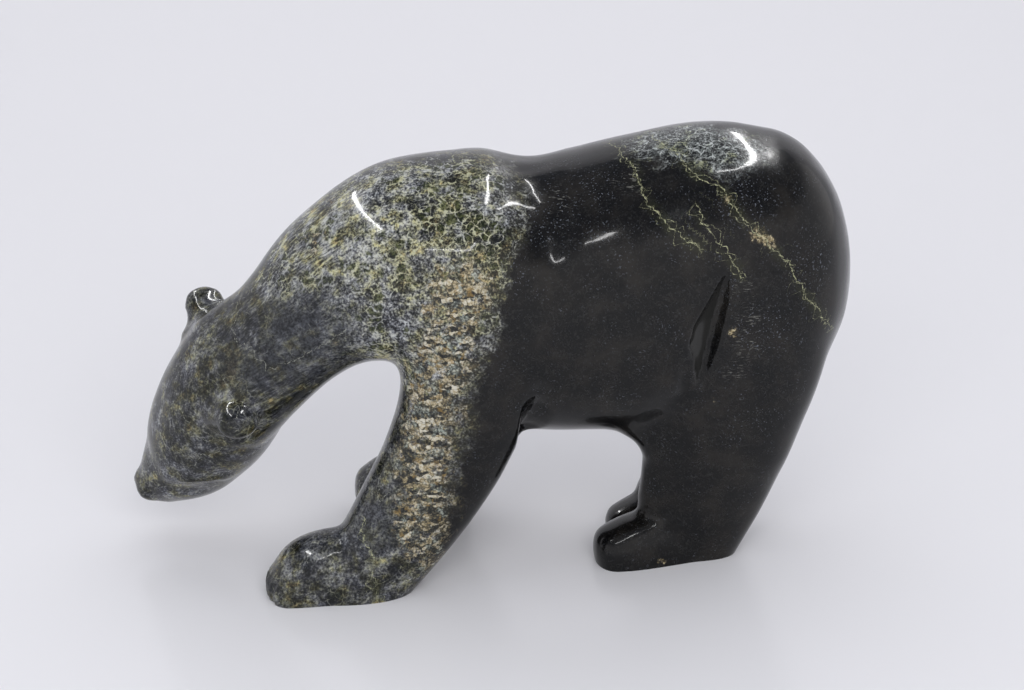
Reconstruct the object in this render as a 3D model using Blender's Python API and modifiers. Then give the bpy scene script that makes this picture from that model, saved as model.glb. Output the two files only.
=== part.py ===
"""A walking bear carved from one piece of polished dark stone, head lowered and turned a little to its right.

The bear faces -X with its left side toward -Y and stands on the floor plane Z = 0. Sizes are millimetres,
turned into metres at the end. The form is built as a carver would block it out: round masses for trunk, head,
limbs, paws and ears are run together into one skin, softened where the stone is blended, cut with the hollows
and creases, and sawn flat under the paws.
"""

from math import cos, pi, radians, sin

import bmesh
import bpy
import numpy as np
from mathutils import Vector

MM = 0.001

# Skin
GRAIN = 1.3
RING_POINTS = 40
RING_STEP = 3.0
DOME_RINGS = 6
TRIANGLES = 10400
SHARP_ANGLE = 50.0

# Stone
STONE_COLOUR = (0.032, 0.036, 0.035, 1.0)
STONE_ROUGHNESS = 0.18

# Trunk, from the rump to the throat: centre, half width, half height above and below, fullness
RUMP_END = 34.5
TRUNK = (
    ((98.0, 0.0, 120.0), 42.5, 54.5, 51.0, 2.2),
    ((80.0, 0.0, 119.0), 45.0, 58.5, 57.0, 2.2),
    ((56.0, 0.0, 114.0), 45.5, 59.0, 58.0, 2.25),
    ((30.0, 0.0, 110.0), 46.0, 57.5, 54.5, 2.25),
    ((4.0, 0.0, 110.0), 46.5, 55.5, 52.5, 2.2),
    ((-22.0, 0.0, 113.0), 47.5, 55.5, 44.0, 2.2),
    ((-44.0, 0.0, 116.0), 43.5, 49.0, 29.5, 2.1),
    ((-64.0, 0.0, 111.0), 36.5, 37.5, 25.0, 2.0),
    ((-82.0, 0.0, 98.5), 31.0, 29.0, 22.5, 2.0),
    ((-98.0, 0.0, 83.0), 28.0, 24.5, 22.0, 2.0),
    ((-110.0, 2.0, 67.0), 25.0, 21.0, 21.0, 2.0),
)
NECK_END = 14.0

# Head: it hangs forward and down, turned to the right and rolled so that the left ear is the lower one
HEAD_AT = (-114.6, 0.0, 81.0)
HEAD_FORWARD = (-0.469, 0.248, -0.848)
HEAD_LEFT = (0.249, -0.885, -0.397)
# Distance ahead of the ears, height of the centre, half width, half height above and below, fullness
HEAD = (
    (-26.0, -7.0, 20.0, 17.0, 17.0, 2.0),
    (-14.0, -8.0, 25.5, 23.0, 21.5, 2.0),
    (0.0, -8.0, 27.5, 23.8, 24.5, 2.0),
    (18.0, -7.5, 26.5, 23.2, 26.0, 2.1),
    (34.0, -7.5, 23.5, 21.0, 25.5, 2.15),
    (48.0, -8.0, 18.8, 17.6, 21.0, 2.3),
    (59.0, -6.0, 13.8, 13.4, 15.5, 2.3),
    (67.0, -4.0, 9.0, 9.6, 10.5, 2.3),
)
HEAD_START = 8.0
MUZZLE_END = 4.0
# Nose pad across the muzzle's end: distance ahead, reach to each side, height, half depth, half height, end
NOSE_AHEAD = 66.5
NOSE_REACH = 3.4
NOSE_HEIGHT = -0.8
NOSE_HALF_DEPTH = 6.2
NOSE_HALF_HEIGHT = 6.6
NOSE_FULLNESS = 2.2
NOSE_END = 4.6

# Ears, reach from the head's middle plane to root and tip; the left one is broader, lower and more blended
EAR_ROOT = 18.0
EAR_TIP = 31.0
EAR_CROWN = 2.0
EAR_FLARE = 1.14
EAR_TAPER = 0.8
EAR_START = 4.0
EAR_END = 6.0
EAR_SLANT = 0.5
EAR_BACK = {"left": 2.5, "right": 7.0}
EAR_AHEAD = {"left": 2.5, "right": 0.0}
EAR_HALF_WIDTH = {"left": 10.5, "right": 10.0}
EAR_HALF_DEPTH = {"left": 8.5, "right": 7.0}
EAR_CUP_RADIUS = {"left": 7.5, "right": 6.0}
EAR_CUP_DEPTH = {"left": 0.9, "right": 2.1}
EAR_CUP_BACK = 0.7
EAR_CUP_INSIDE = 5.0
EAR_CUP_FACING = (0.45, 0.0, 0.88)
EAR_CUP_OUTWARD = 0.15
EAR_RIM = ((-9.8, 28.5, -6.0), (-4.7, 29.0, -8.5), (1.6, 29.0, -8.8), (7.5, 28.5, -6.0), (10.0, 28.0, -2.0),
           (10.5, 27.0, 3.0))
EAR_RIM_WIDTH = 3.6
EAR_RIM_DEPTHS = (0.0, 1.3, 1.6, 1.6, 1.1, 0.0)

# Legs, from inside the body to below the floor: centre, half width, half depth in front and behind, fullness
LEG_FRONT_LEFT = (
    ((-14.0, -18.0, 130.0), 26.0, 30.0, 28.0, 2.1),
    ((-18.0, -24.0, 100.0), 23.0, 28.0, 30.0, 2.2),
    ((-26.0, -28.5, 74.0), 18.5, 21.0, 30.0, 2.3),
    ((-38.0, -31.0, 50.0), 15.0, 17.5, 28.8, 2.4),
    ((-54.0, -32.5, 24.0), 14.0, 14.5, 26.0, 2.4),
    ((-68.0, -33.0, 0.0), 14.5, 13.0, 21.0, 2.4),
    ((-74.0, -33.0, -12.0), 13.5, 12.0, 18.0, 2.4),
)
LEG_FRONT_RIGHT = (
    ((-14.0, 18.0, 130.0), 26.0, 30.0, 28.0, 2.1),
    ((-14.0, 24.0, 100.0), 22.0, 26.0, 27.0, 2.2),
    ((-16.0, 28.0, 74.0), 18.0, 20.0, 22.0, 2.3),
    ((-21.0, 30.0, 46.0), 15.5, 17.0, 18.0, 2.3),
    ((-27.0, 31.0, 20.0), 13.5, 17.0, 12.5, 2.3),
    ((-31.0, 31.0, 0.0), 12.5, 17.0, 14.0, 2.3),
    ((-33.0, 31.0, -12.0), 12.0, 16.0, 13.0, 2.3),
)
LEG_HIND_LEFT = (
    ((86.0, -14.0, 122.0), 28.0, 34.0, 36.0, 2.1),
    ((86.0, -18.0, 92.0), 24.0, 34.0, 36.0, 2.2),
    ((84.0, -18.5, 64.0), 18.5, 33.0, 29.5, 2.3),
    ((80.0, -16.0, 42.0), 14.5, 30.0, 25.5, 2.3),
    ((75.0, -13.5, 22.0), 11.5, 26.5, 22.8, 2.3),
    ((70.0, -11.0, 4.0), 10.5, 22.0, 20.0, 2.3),
    ((66.0, -10.0, -10.0), 10.0, 20.0, 18.0, 2.3),
)
LEG_HIND_RIGHT = (
    ((86.0, 14.0, 122.0), 28.0, 34.0, 36.0, 2.1),
    ((86.0, 18.0, 92.0), 24.0, 34.0, 36.0, 2.2),
    ((84.0, 18.5, 64.0), 18.5, 28.0, 29.5, 2.3),
    ((80.0, 16.5, 42.0), 14.5, 24.5, 25.5, 2.3),
    ((75.0, 14.5, 22.0), 11.5, 21.0, 22.8, 2.3),
    ((70.0, 12.5, 4.0), 10.0, 21.0, 20.0, 2.3),
    ((66.0, 12.0, -10.0), 9.5, 21.0, 18.0, 2.3),
)

LEG_START = 12.0
LEG_END = 4.0

# Paws, from heel to toe: centre, half width, half height above and below, fullness
PAW_START = 8.0
PAW_END = 7.0
PAW_FRONT_LEFT = (
    ((-56.0, -33.0, 4.0), 12.0, 18.0, 14.0, 2.3),
    ((-70.0, -33.5, 6.0), 13.5, 20.0, 15.0, 2.4),
    ((-81.0, -34.2, 6.0), 14.5, 17.0, 15.0, 2.3),
    ((-91.5, -34.8, 0.5), 13.5, 11.0, 12.0, 2.2),
)
PAW_FRONT_RIGHT = (
    ((-24.0, 31.0, 4.0), 12.0, 16.0, 14.0, 2.3),
    ((-36.0, 31.0, 7.0), 13.0, 18.5, 15.0, 2.4),
    ((-46.0, 31.0, 7.5), 13.0, 19.0, 15.0, 2.4),
    ((-55.0, 31.0, 5.0), 12.5, 15.5, 12.0, 2.4),
)
PAW_HIND_LEFT = (
    ((80.0, -10.0, 4.0), 9.5, 12.0, 12.0, 2.3),
    ((64.0, -13.0, 5.0), 10.5, 16.5, 14.0, 2.6),
    ((48.5, -15.5, 4.0), 11.5, 14.5, 14.0, 2.7),
    ((38.8, -17.0, 2.0), 11.0, 12.5, 12.0, 2.5),
)
PAW_HIND_RIGHT = (
    ((80.0, 10.0, 4.0), 9.0, 12.0, 12.0, 2.3),
    ((68.0, 9.5, 5.0), 10.5, 13.5, 14.0, 2.6),
    ((54.5, 8.5, 4.0), 11.0, 11.5, 14.0, 2.7),
    ((46.0, 8.0, 1.5), 10.5, 9.5, 12.0, 2.5),
)

# Fold of skin from the belly to the front of each thigh: centre, half width, half depth, fullness
FLANK_FOLD = (
    ((42.0, -22.0, 76.0), 12.0, 13.0, 13.0, 2.0),
    ((50.0, -20.0, 62.0), 9.0, 9.0, 9.0, 2.0),
    ((59.0, -17.0, 47.0), 7.0, 6.5, 6.5, 2.0),
)
FOLD_START = 6.0
FOLD_END = 5.0

# Softening: area each point of the skin is evened over, and how much of it reaches the finer forms
EVENED_AREA = 154.0
SOFT_HEAD = 0.10
SOFT_PAWS = 0.16
SOFT_LEGS = 0.40
# Heights between which the softness changes from paw to leg and from leg to trunk
PAW_HEIGHTS = (26.0, 40.0)
LEG_HEIGHTS = (38.0, 66.0)
# Where the head's softness sets in: ahead of the ears, out on the ears, and along the neck
HEAD_BEGINS = (-12.0, 4.0)
EARS_BEGIN = (22.0, 27.0)
EARS_BEHIND = (-30.0, -20.0)
NECK_BEGINS = (-95.0, -80.0)
LIGHT_PASSES = 3


# Carved details on the left side; most are repeated on the right. Paths run over the skin.
THIGH_HOLLOW_HEIGHTS = (84.0, 91.0, 98.0, 105.0, 113.5, 124.0, 137.5)
THIGH_HOLLOW_FRONT = (66.5, 66.0, 65.3, 63.1, 65.0, 70.7, 78.0)
THIGH_HOLLOW_FOOT = (68.5, 69.8, 71.0, 72.4, 73.8, 76.0, 77.6)
THIGH_HOLLOW_BACK = (71.0, 73.6, 75.4, 76.9, 78.7, 80.6, 81.0)
THIGH_HOLLOW_DEPTH = 5.6
THIGH_HOLLOW_LIP = 1.3
THIGH_HOLLOW_LIP_EDGE = 1.6
THIGH_HOLLOW_EDGE = 3.0
THIGH_HOLLOW_ROUND = 0.6
FLANK_FROM = 20.0
THIGH_SCOOP = ((64.8, -41.8, 103.3), (63.4, -41.5, 98.2), (63.2, -40.1, 91.3), (63.2, -38.3, 84.2),
               (63.2, -36.0, 76.7))
THIGH_SCOOP_WIDTH = 4.6
THIGH_SCOOP_DEPTHS = (0.0, 1.5, 2.2, 1.6, 0.0)
GROIN = ((59.5, -41.0, 90.0), (57.0, -36.0, 77.0), (54.5, -29.0, 66.0), (51.5, -22.0, 57.0))
GROIN_WIDTH = 9.0
GROIN_DEPTHS = (0.0, 1.2, 2.2, 1.6)
ELBOW = ((7.5, -44.7, 95.0), (7.4, -42.5, 86.0), (6.5, -38.5, 76.0), (4.0, -31.0, 64.0))
ELBOW_WIDTH = 6.5
ELBOW_DEPTHS = (0.0, 1.8, 4.0, 4.5)
SADDLE = ((4.0, 0.0, 166.0), (4.0, -8.6, 165.0), (7.2, -20.8, 161.0), (9.5, -30.1, 154.4),
          (9.8, -36.5, 147.0), (8.4, -42.0, 136.0), (6.0, -46.0, 122.0))
SADDLE_WIDTH = 17.0
SADDLE_DEPTHS = (0.8, 1.2, 1.8, 2.4, 2.4, 1.4, 0.0)
RIBS = ((12.0, -41.0, 138.0), (34.0, -39.0, 144.0), (60.0, -39.0, 148.0))
RIBS_WIDTH = 30.0
RIBS_RISES = (0.0, 1.2, 0.0)
INSTEP_RIDGE = ((44.0, -23.0, 12.5), (54.8, -21.5, 16.0), (62.3, -22.2, 19.3), (71.0, -25.5, 26.0))
INSTEP_RIDGE_WIDTH = 4.0
INSTEP_RIDGE_RISES = (0.0, 1.0, 1.3, 0.0)
INSTEP = ((50.0, -14.0, 20.0), (58.0, -15.5, 23.0), (66.0, -18.5, 30.0))
INSTEP_WIDTH = 8.0
INSTEP_DEPTH = 0.3
INSTEP_SHIFT = -3.0

# Grooves between the toes of the front paws: how far from the paw's middle line, and their size
TOE_GROOVES = (-8.4, -4.2, 0.0, 4.2, 8.4)
TOE_WIDTH = 1.7
TOE_DEPTH = 1.7
TOE_HEIGHT = 12.0
TOE_BACK = -1.0
TOE_FADE = 6.0
TOE_REACH = 16.0

# Carved details of the head, as distances ahead of the ears, to the left and toward the crown
BRIDGE_FROM = 10.0
BRIDGE_FULL = 28.0
BRIDGE_FADE = 50.0
BRIDGE_TO = 62.0
BRIDGE_CUT = 0.5
BRIDGE_FLATNESS = 0.6
BRIDGE_EDGE = 1.5
BRIDGE_SKIN = 6.0
JAW_RIDGE = ((54.5, 9.0, 5.5), (48.3, 14.7, 3.3), (41.0, 21.3, -3.1), (36.6, 22.9, -11.3),
             (38.3, 19.7, -19.5))
JAW_RIDGE_WIDTH = 3.4
JAW_RIDGE_RISES = (0.0, 0.9, 1.2, 1.1, 0.0)
JAW_FACET = ((58.3, 9.1, 3.9), (54.3, 15.3, -0.2), (50.6, 18.1, -6.8), (44.8, 19.7, -12.6))
JAW_FACET_WIDTH = 7.0
JAW_FACET_DEPTHS = (0.0, 0.8, 0.9, 0.0)


def clear_scene():
    for item in list(bpy.data.objects):
        bpy.data.objects.remove(item, do_unlink=True)


def collection_named(name):
    made = bpy.data.collections.new(name)
    bpy.context.scene.collection.children.link(made)
    return made


def smooth_row(rows, at):
    """A row between the given rows, on a curve that passes through each of them."""
    last = len(rows) - 1
    index = min(int(at), last - 1)
    t = at - index
    before = rows[max(index - 1, 0)]
    first = rows[index]
    second = rows[index + 1]
    after = rows[min(index + 2, last)]
    slope_a = (second - before) * (0.5 if index > 0 else 1.0)
    slope_b = (after - first) * (0.5 if index + 2 <= last else 1.0)
    t2 = t * t
    t3 = t2 * t
    return (
        first * (2 * t3 - 3 * t2 + 1)
        + slope_a * (t3 - 2 * t2 + t)
        + second * (3 * t2 - 2 * t3)
        + slope_b * (t3 - t2)
    )


def ring(centre, side, up, row):
    """One closed section: a superellipse with its own height above and below."""
    wide, above, below, fullness = row
    points = []
    for index in range(RING_POINTS):
        angle = 2 * pi * index / RING_POINTS
        x = abs(cos(angle)) ** (2 / fullness) * (1 if cos(angle) >= 0 else -1)
        y = abs(sin(angle)) ** (2 / fullness) * (1 if sin(angle) >= 0 else -1)
        points.append(centre + side * (x * wide) + up * (y * (above if y >= 0 else below)))
    return points


def loft(shape, stations, start_dome, end_dome, lateral=Vector((0, 1, 0))):
    """Adds a closed body through the stations, with a rounded dome past each end."""
    rows = np.array([[*centre, *sizes] for centre, *sizes in stations], float)
    spans = np.linalg.norm(np.diff(rows[:, :3], axis=0), axis=1)
    ats = [0.0]
    for index, span in enumerate(spans):
        count = max(2, round(span / RING_STEP))
        ats.extend(index + (k + 1) / count for k in range(count))
    sampled = np.array([smooth_row(rows, at) for at in ats])
    centres = [Vector(row[:3]) for row in sampled]
    rings = []
    for index, row in enumerate(sampled):
        ahead = centres[min(index + 1, len(centres) - 1)]
        behind = centres[max(index - 1, 0)]
        along = (ahead - behind).normalized()
        up = lateral.cross(along).normalized()
        side = along.cross(up)
        rings.append((centres[index], along, side, up, row[3:]))
    sections = []
    for dome, at, direction in ((start_dome, rings[0], -1), (end_dome, rings[-1], 1)):
        centre, along, side, up, row = at
        cap = []
        for k in range(1, DOME_RINGS):
            angle = k / DOME_RINGS * pi / 2
            scale = np.array([cos(angle)] * 3 + [1.0])
            cap.append(ring(centre + along * (direction * dome * sin(angle)), side, up, row * scale))
        tip = centre + along * (direction * dome)
        sections.append((cap, tip))
    (start_cap, start_tip), (end_cap, end_tip) = sections
    body = [ring(c, side, up, row) for c, _, side, up, row in rings]
    all_rings = start_cap[::-1] + body + end_cap
    made = [[shape.verts.new(p * MM) for p in points] for points in all_rings]
    tips = [shape.verts.new(start_tip * MM), shape.verts.new(end_tip * MM)]
    for first, second in zip(made, made[1:]):
        for k in range(RING_POINTS):
            n = (k + 1) % RING_POINTS
            shape.faces.new((first[k], first[n], second[n], second[k]))
    for k in range(RING_POINTS):
        n = (k + 1) % RING_POINTS
        shape.faces.new((made[0][n], made[0][k], tips[0]))
        shape.faces.new((made[-1][k], made[-1][n], tips[1]))


def head_axes():
    forward = Vector(HEAD_FORWARD).normalized()
    left = Vector(HEAD_LEFT)
    left = (left - forward * left.dot(forward)).normalized()
    return forward, left, forward.cross(left)


def masses():
    """All the round masses as one mesh of separate closed bodies."""
    shape = bmesh.new()
    loft(shape, TRUNK, RUMP_END, NECK_END)
    forward, left, crown = head_axes()
    middle = Vector(HEAD_AT)
    head = [(tuple(middle + forward * s + crown * h), w, a, b, n) for s, h, w, a, b, n in HEAD]
    loft(shape, head, HEAD_START, MUZZLE_END, -left)
    tip = middle + forward * NOSE_AHEAD + crown * NOSE_HEIGHT
    size = (NOSE_HALF_DEPTH, NOSE_HALF_HEIGHT, NOSE_HALF_HEIGHT, NOSE_FULLNESS)
    nose = [(tuple(tip + left * aside), *size) for aside in (-NOSE_REACH, NOSE_REACH)]
    loft(shape, nose, NOSE_END, NOSE_END, forward)
    across = (crown + forward * EAR_SLANT).normalized()
    for side, hand in (("left", 1), ("right", -1)):
        root = middle + left * (hand * EAR_ROOT) + forward * EAR_AHEAD[side]
        tip = middle + left * (hand * EAR_TIP) - forward * EAR_BACK[side] + crown * EAR_CROWN
        wide = EAR_HALF_WIDTH[side]
        deep = EAR_HALF_DEPTH[side]
        ear = [(tuple(at), share * wide, share * deep, share * deep, 2.0)
               for at, share in ((root, EAR_FLARE), (tip, EAR_TAPER))]
        loft(shape, ear, EAR_START, EAR_END, across)
    for leg in (LEG_FRONT_LEFT, LEG_FRONT_RIGHT, LEG_HIND_LEFT, LEG_HIND_RIGHT):
        loft(shape, leg, LEG_START, LEG_END)
    for fold in (FLANK_FOLD, [((x, -y, z), *sizes) for (x, y, z), *sizes in FLANK_FOLD]):
        loft(shape, fold, FOLD_START, FOLD_END)
    for paw in (PAW_FRONT_LEFT, PAW_FRONT_RIGHT, PAW_HIND_LEFT, PAW_HIND_RIGHT):
        loft(shape, paw, PAW_START, PAW_END)
    bmesh.ops.recalc_face_normals(shape, faces=shape.faces)
    return shape


def baked(item):
    """The item's mesh with its modifiers worked in and then removed."""
    graph = bpy.context.evaluated_depsgraph_get()
    mesh = bpy.data.meshes.new_from_object(item.evaluated_get(graph))
    item.modifiers.clear()
    item.data = mesh
    return item


def points_of(mesh):
    """The mesh's vertices in millimetres, one row each."""
    flat = np.empty(len(mesh.vertices) * 3)
    mesh.vertices.foreach_get("co", flat)
    return flat.reshape(-1, 3) / MM


def step(low, high, value):
    """0 below low, 1 above high and a smooth rise between them."""
    t = np.clip((value - low) / (high - low), 0, 1)
    return t * t * (3 - 2 * t)


def softness(points):
    """How freely the skin is evened out at each point."""
    x, y, z = points.T
    forward, left, _ = head_axes()
    away = points - np.array(HEAD_AT)
    ahead = away @ np.array(forward)
    aside = np.abs(away @ np.array(left))
    share = SOFT_PAWS + (SOFT_LEGS - SOFT_PAWS) * step(*PAW_HEIGHTS, z)
    share += (1 - SOFT_LEGS) * step(*LEG_HEIGHTS, z)
    near_head = np.maximum(step(*HEAD_BEGINS, ahead), step(*EARS_BEGIN, aside) * step(*EARS_BEHIND, ahead))
    near_head *= 1 - step(*NECK_BEGINS, x)
    return share * (1 - near_head) + SOFT_HEAD * near_head


def soften(item, passes, weights=None):
    modifier = item.modifiers.new("soften", "SMOOTH")
    modifier.factor = 0.5
    modifier.iterations = passes
    if weights is not None:
        group = item.vertex_groups.new(name="soft")
        for index, weight in enumerate(weights):
            group.add((index,), float(weight), "REPLACE")
        modifier.vertex_group = group.name
    baked(item)
    item.vertex_groups.clear()


def reach(points, path):
    """Each point's distance to the path, and where along it the nearest spot lies, from 0 to 1."""
    path = np.array(path, float)
    nearest = np.full(len(points), np.inf)
    along = np.zeros(len(points))
    for index, (first, second) in enumerate(zip(path, path[1:])):
        span = second - first
        t = np.clip((points - first) @ span / (span @ span), 0, 1)
        gap = np.linalg.norm(points - first - t[:, None] * span, axis=1)
        closer = gap < nearest
        nearest = np.where(closer, gap, nearest)
        along = np.where(closer, (index + t) / (len(path) - 1), along)
    return nearest, along


def mirrored(path, shift=0.0):
    return tuple((x, shift - y, z) for x, y, z in path)


def eased(along, values):
    """The values spread evenly from 0 to 1, with a smooth change from each to the next."""
    values = np.array(values, float)
    place = np.clip(along, 0, 1) * (len(values) - 1)
    index = np.minimum(place.astype(int), len(values) - 2)
    return values[index] + (values[index + 1] - values[index]) * step(0, 1, place - index)


def press(points, normals, path, width, depths, sharp=False, way=1):
    """Presses the skin in along a path, or raises it where the way is -1."""
    gap, along = reach(points, path)
    depth = eased(along, depths) if np.ndim(depths) else depths
    near = np.clip(1 - gap / width, 0, 1) if sharp else np.clip(1 - (gap / width) ** 2, 0, 1) ** 2
    return points - way * normals * (depth * near)[:, None]


def normals_of(mesh):
    flat = np.empty(len(mesh.vertices) * 3)
    mesh.vertices.foreach_get("normal", flat)
    return flat.reshape(-1, 3)


def thigh_hollow(points):
    """The leaf-shaped hollow on each thigh: a small lip in front, deeper toward a steep wall at the back."""
    x, y, z = points.T
    front, foot, back = (np.interp(z, THIGH_HOLLOW_HEIGHTS, edge)
                         for edge in (THIGH_HOLLOW_FRONT, THIGH_HOLLOW_FOOT, THIGH_HOLLOW_BACK))
    low = THIGH_HOLLOW_HEIGHTS[0]
    high = THIGH_HOLLOW_HEIGHTS[-1]
    lengthwise = np.sin(pi * np.clip((z - low) / (high - low), 0, 1)) ** THIGH_HOLLOW_ROUND
    inward = np.clip((x - front) / np.maximum(foot - front, THIGH_HOLLOW_EDGE), 0, 1)
    floor = THIGH_HOLLOW_LIP * step(front, front + THIGH_HOLLOW_LIP_EDGE, x)
    floor += (THIGH_HOLLOW_DEPTH - THIGH_HOLLOW_LIP) * inward
    wall = 1 - step(foot, back, x)
    depth = np.where(np.abs(y) > FLANK_FROM, floor * wall * lengthwise, 0)
    moved = points.copy()
    moved[:, 1] -= np.sign(y) * depth
    return moved


def toe_grooves(points, paw):
    """Short upright grooves over the front of a paw, with a toe between each pair."""
    x, y, z = points.T
    (tip, middle, _), *_ = paw[-1]
    near = 1 - step(tip + TOE_BACK, tip + TOE_BACK + TOE_FADE, x)
    low = 1 - step(TOE_HEIGHT - TOE_FADE, TOE_HEIGHT, z)
    depth = np.zeros(len(points))
    for place in TOE_GROOVES:
        across = np.clip(1 - np.abs(y - middle - place) / TOE_WIDTH, 0, 1)
        depth = np.maximum(depth, TOE_DEPTH * across * near * low)
    beside = np.abs(y - middle) < TOE_REACH
    return points + np.outer(depth * beside, (1, 0, 0))


def carve_head(points, normals):
    forward, left, crown = (np.array(axis) for axis in head_axes())
    frame = np.stack([forward, left, crown])
    local = (points - np.array(HEAD_AT)) @ frame.T
    turned = normals @ frame.T
    for side, hand in (("left", 1), ("right", -1)):
        path = tuple((s, hand * l, c) for s, l, c in JAW_FACET)
        local = press(local, turned, path, JAW_FACET_WIDTH, JAW_FACET_DEPTHS)
        path = tuple((s, hand * l, c) for s, l, c in JAW_RIDGE)
        local = press(local, turned, path, JAW_RIDGE_WIDTH, JAW_RIDGE_RISES, True, -1)
        toward = np.array(EAR_CUP_FACING)
        ear = np.array((-EAR_BACK[side] * EAR_CUP_BACK, hand * (EAR_TIP - EAR_CUP_INSIDE), EAR_CROWN))
        cup = ear + (toward - np.array((0, EAR_CUP_OUTWARD * hand, 0))) * EAR_HALF_DEPTH[side]
        gap = np.linalg.norm(local - cup, axis=1)
        cupped = np.clip(1 - (gap / EAR_CUP_RADIUS[side]) ** 2, 0, 1)
        local = local - toward * (EAR_CUP_DEPTH[side] * cupped)[:, None]
        path = tuple((s, hand * l, c) for s, l, c in EAR_RIM)
        local = press(local, turned, path, EAR_RIM_WIDTH, EAR_RIM_DEPTHS, True)
    ahead, aside, height = local.T
    top = np.interp(ahead, [row[0] for row in HEAD], [row[1] + row[3] for row in HEAD])
    bridge = step(BRIDGE_FROM, BRIDGE_FULL, ahead) * (1 - step(BRIDGE_FADE, BRIDGE_TO, ahead))
    over = height - top + BRIDGE_CUT * bridge
    bent = (over - np.sqrt(over ** 2 + BRIDGE_EDGE ** 2)) / 2
    near_top = step(-BRIDGE_SKIN, 0, over)
    local[:, 2] = height + BRIDGE_FLATNESS * bridge * near_top * (bent - over)
    return local @ frame + np.array(HEAD_AT)


def carve(item):
    points = points_of(item.data)
    normals = normals_of(item.data)
    points = press(points, normals, SADDLE, SADDLE_WIDTH, SADDLE_DEPTHS)
    points = press(points, normals, mirrored(SADDLE), SADDLE_WIDTH, SADDLE_DEPTHS)
    for side in (RIBS, mirrored(RIBS)):
        points = press(points, normals, side, RIBS_WIDTH, RIBS_RISES, False, -1)
    for side in (GROIN, mirrored(GROIN)):
        points = press(points, normals, side, GROIN_WIDTH, GROIN_DEPTHS, True)
    for side in (ELBOW, mirrored(ELBOW)):
        points = press(points, normals, side, ELBOW_WIDTH, ELBOW_DEPTHS, True)
    for side in (INSTEP, mirrored(INSTEP, INSTEP_SHIFT)):
        points = press(points, normals, side, INSTEP_WIDTH, INSTEP_DEPTH)
    for side in (INSTEP_RIDGE, mirrored(INSTEP_RIDGE, INSTEP_SHIFT)):
        points = press(points, normals, side, INSTEP_RIDGE_WIDTH, INSTEP_RIDGE_RISES, True, -1)
    for side in (THIGH_SCOOP, mirrored(THIGH_SCOOP)):
        points = press(points, normals, side, THIGH_SCOOP_WIDTH, THIGH_SCOOP_DEPTHS)
    points = thigh_hollow(points)
    for paw in (PAW_FRONT_LEFT, PAW_FRONT_RIGHT):
        points = toe_grooves(points, paw)
    points = carve_head(points, normals)
    item.data.vertices.foreach_set("co", (points * MM).ravel())
    item.data.update()


def saw_soles(item):
    """Cuts the carving off level with the floor and closes the flat soles."""
    shape = bmesh.new()
    shape.from_mesh(item.data)
    everything = shape.verts[:] + shape.edges[:] + shape.faces[:]
    cut = bmesh.ops.bisect_plane(
        shape, geom=everything, dist=1e-7, plane_co=(0, 0, 0), plane_no=(0, 0, -1), clear_outer=True
    )
    rims = [edge for edge in cut["geom_cut"] if isinstance(edge, bmesh.types.BMEdge)]
    bmesh.ops.holes_fill(shape, edges=rims, sides=0)
    shape.to_mesh(item.data)
    shape.free()


def thin_out(item):
    """Fewer, larger facets, kept small where the skin turns quickly."""
    modifier = item.modifiers.new("facets", "DECIMATE")
    modifier.ratio = TRIANGLES / (2 * len(item.data.vertices))
    baked(item)


def centre(item):
    """Puts the middle of the outline over the origin."""
    points = points_of(item.data)
    middle = (points.min(axis=0) + points.max(axis=0)) / 2
    points -= (middle[0], middle[1], 0)
    item.data.vertices.foreach_set("co", (points * MM).ravel())
    item.data.update()


def stone():
    material = bpy.data.materials.new("dark polished soapstone")
    material.use_nodes = True
    shader = material.node_tree.nodes["Principled BSDF"]
    shader.inputs["Base Color"].default_value = STONE_COLOUR
    shader.inputs["Roughness"].default_value = STONE_ROUGHNESS
    material.diffuse_color = STONE_COLOUR
    material.roughness = STONE_ROUGHNESS
    return material


def main():
    clear_scene()
    home = collection_named("bear_carving")
    mesh = bpy.data.meshes.new("bear")
    shape = masses()
    shape.to_mesh(mesh)
    shape.free()
    bear = bpy.data.objects.new("bear", mesh)
    home.objects.link(bear)
    remesh = bear.modifiers.new("one skin", "REMESH")
    remesh.mode = "VOXEL"
    remesh.voxel_size = GRAIN * MM
    baked(bear)
    soften(bear, round(EVENED_AREA / GRAIN ** 2), softness(points_of(bear.data)))
    soften(bear, LIGHT_PASSES)
    carve(bear)
    soften(bear, 1)
    thin_out(bear)
    saw_soles(bear)
    centre(bear)
    bear.data.materials.clear()
    bear.data.materials.append(stone())
    bear.data.shade_smooth()
    bear.data.set_sharp_from_angle(angle=radians(SHARP_ANGLE))


main()
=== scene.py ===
"""The look of the polished stone bear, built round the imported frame.

The carving's skin is made again here from the same masses and cuts as the solid, at full fineness, and the
block's colour zones, veins and polish are laid on it. Sizes are millimetres unless a comment says metres.
"""

from math import cos, pi, radians, sin

import bmesh
import bpy
import numpy as np
from mathutils import Matrix, Vector


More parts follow.
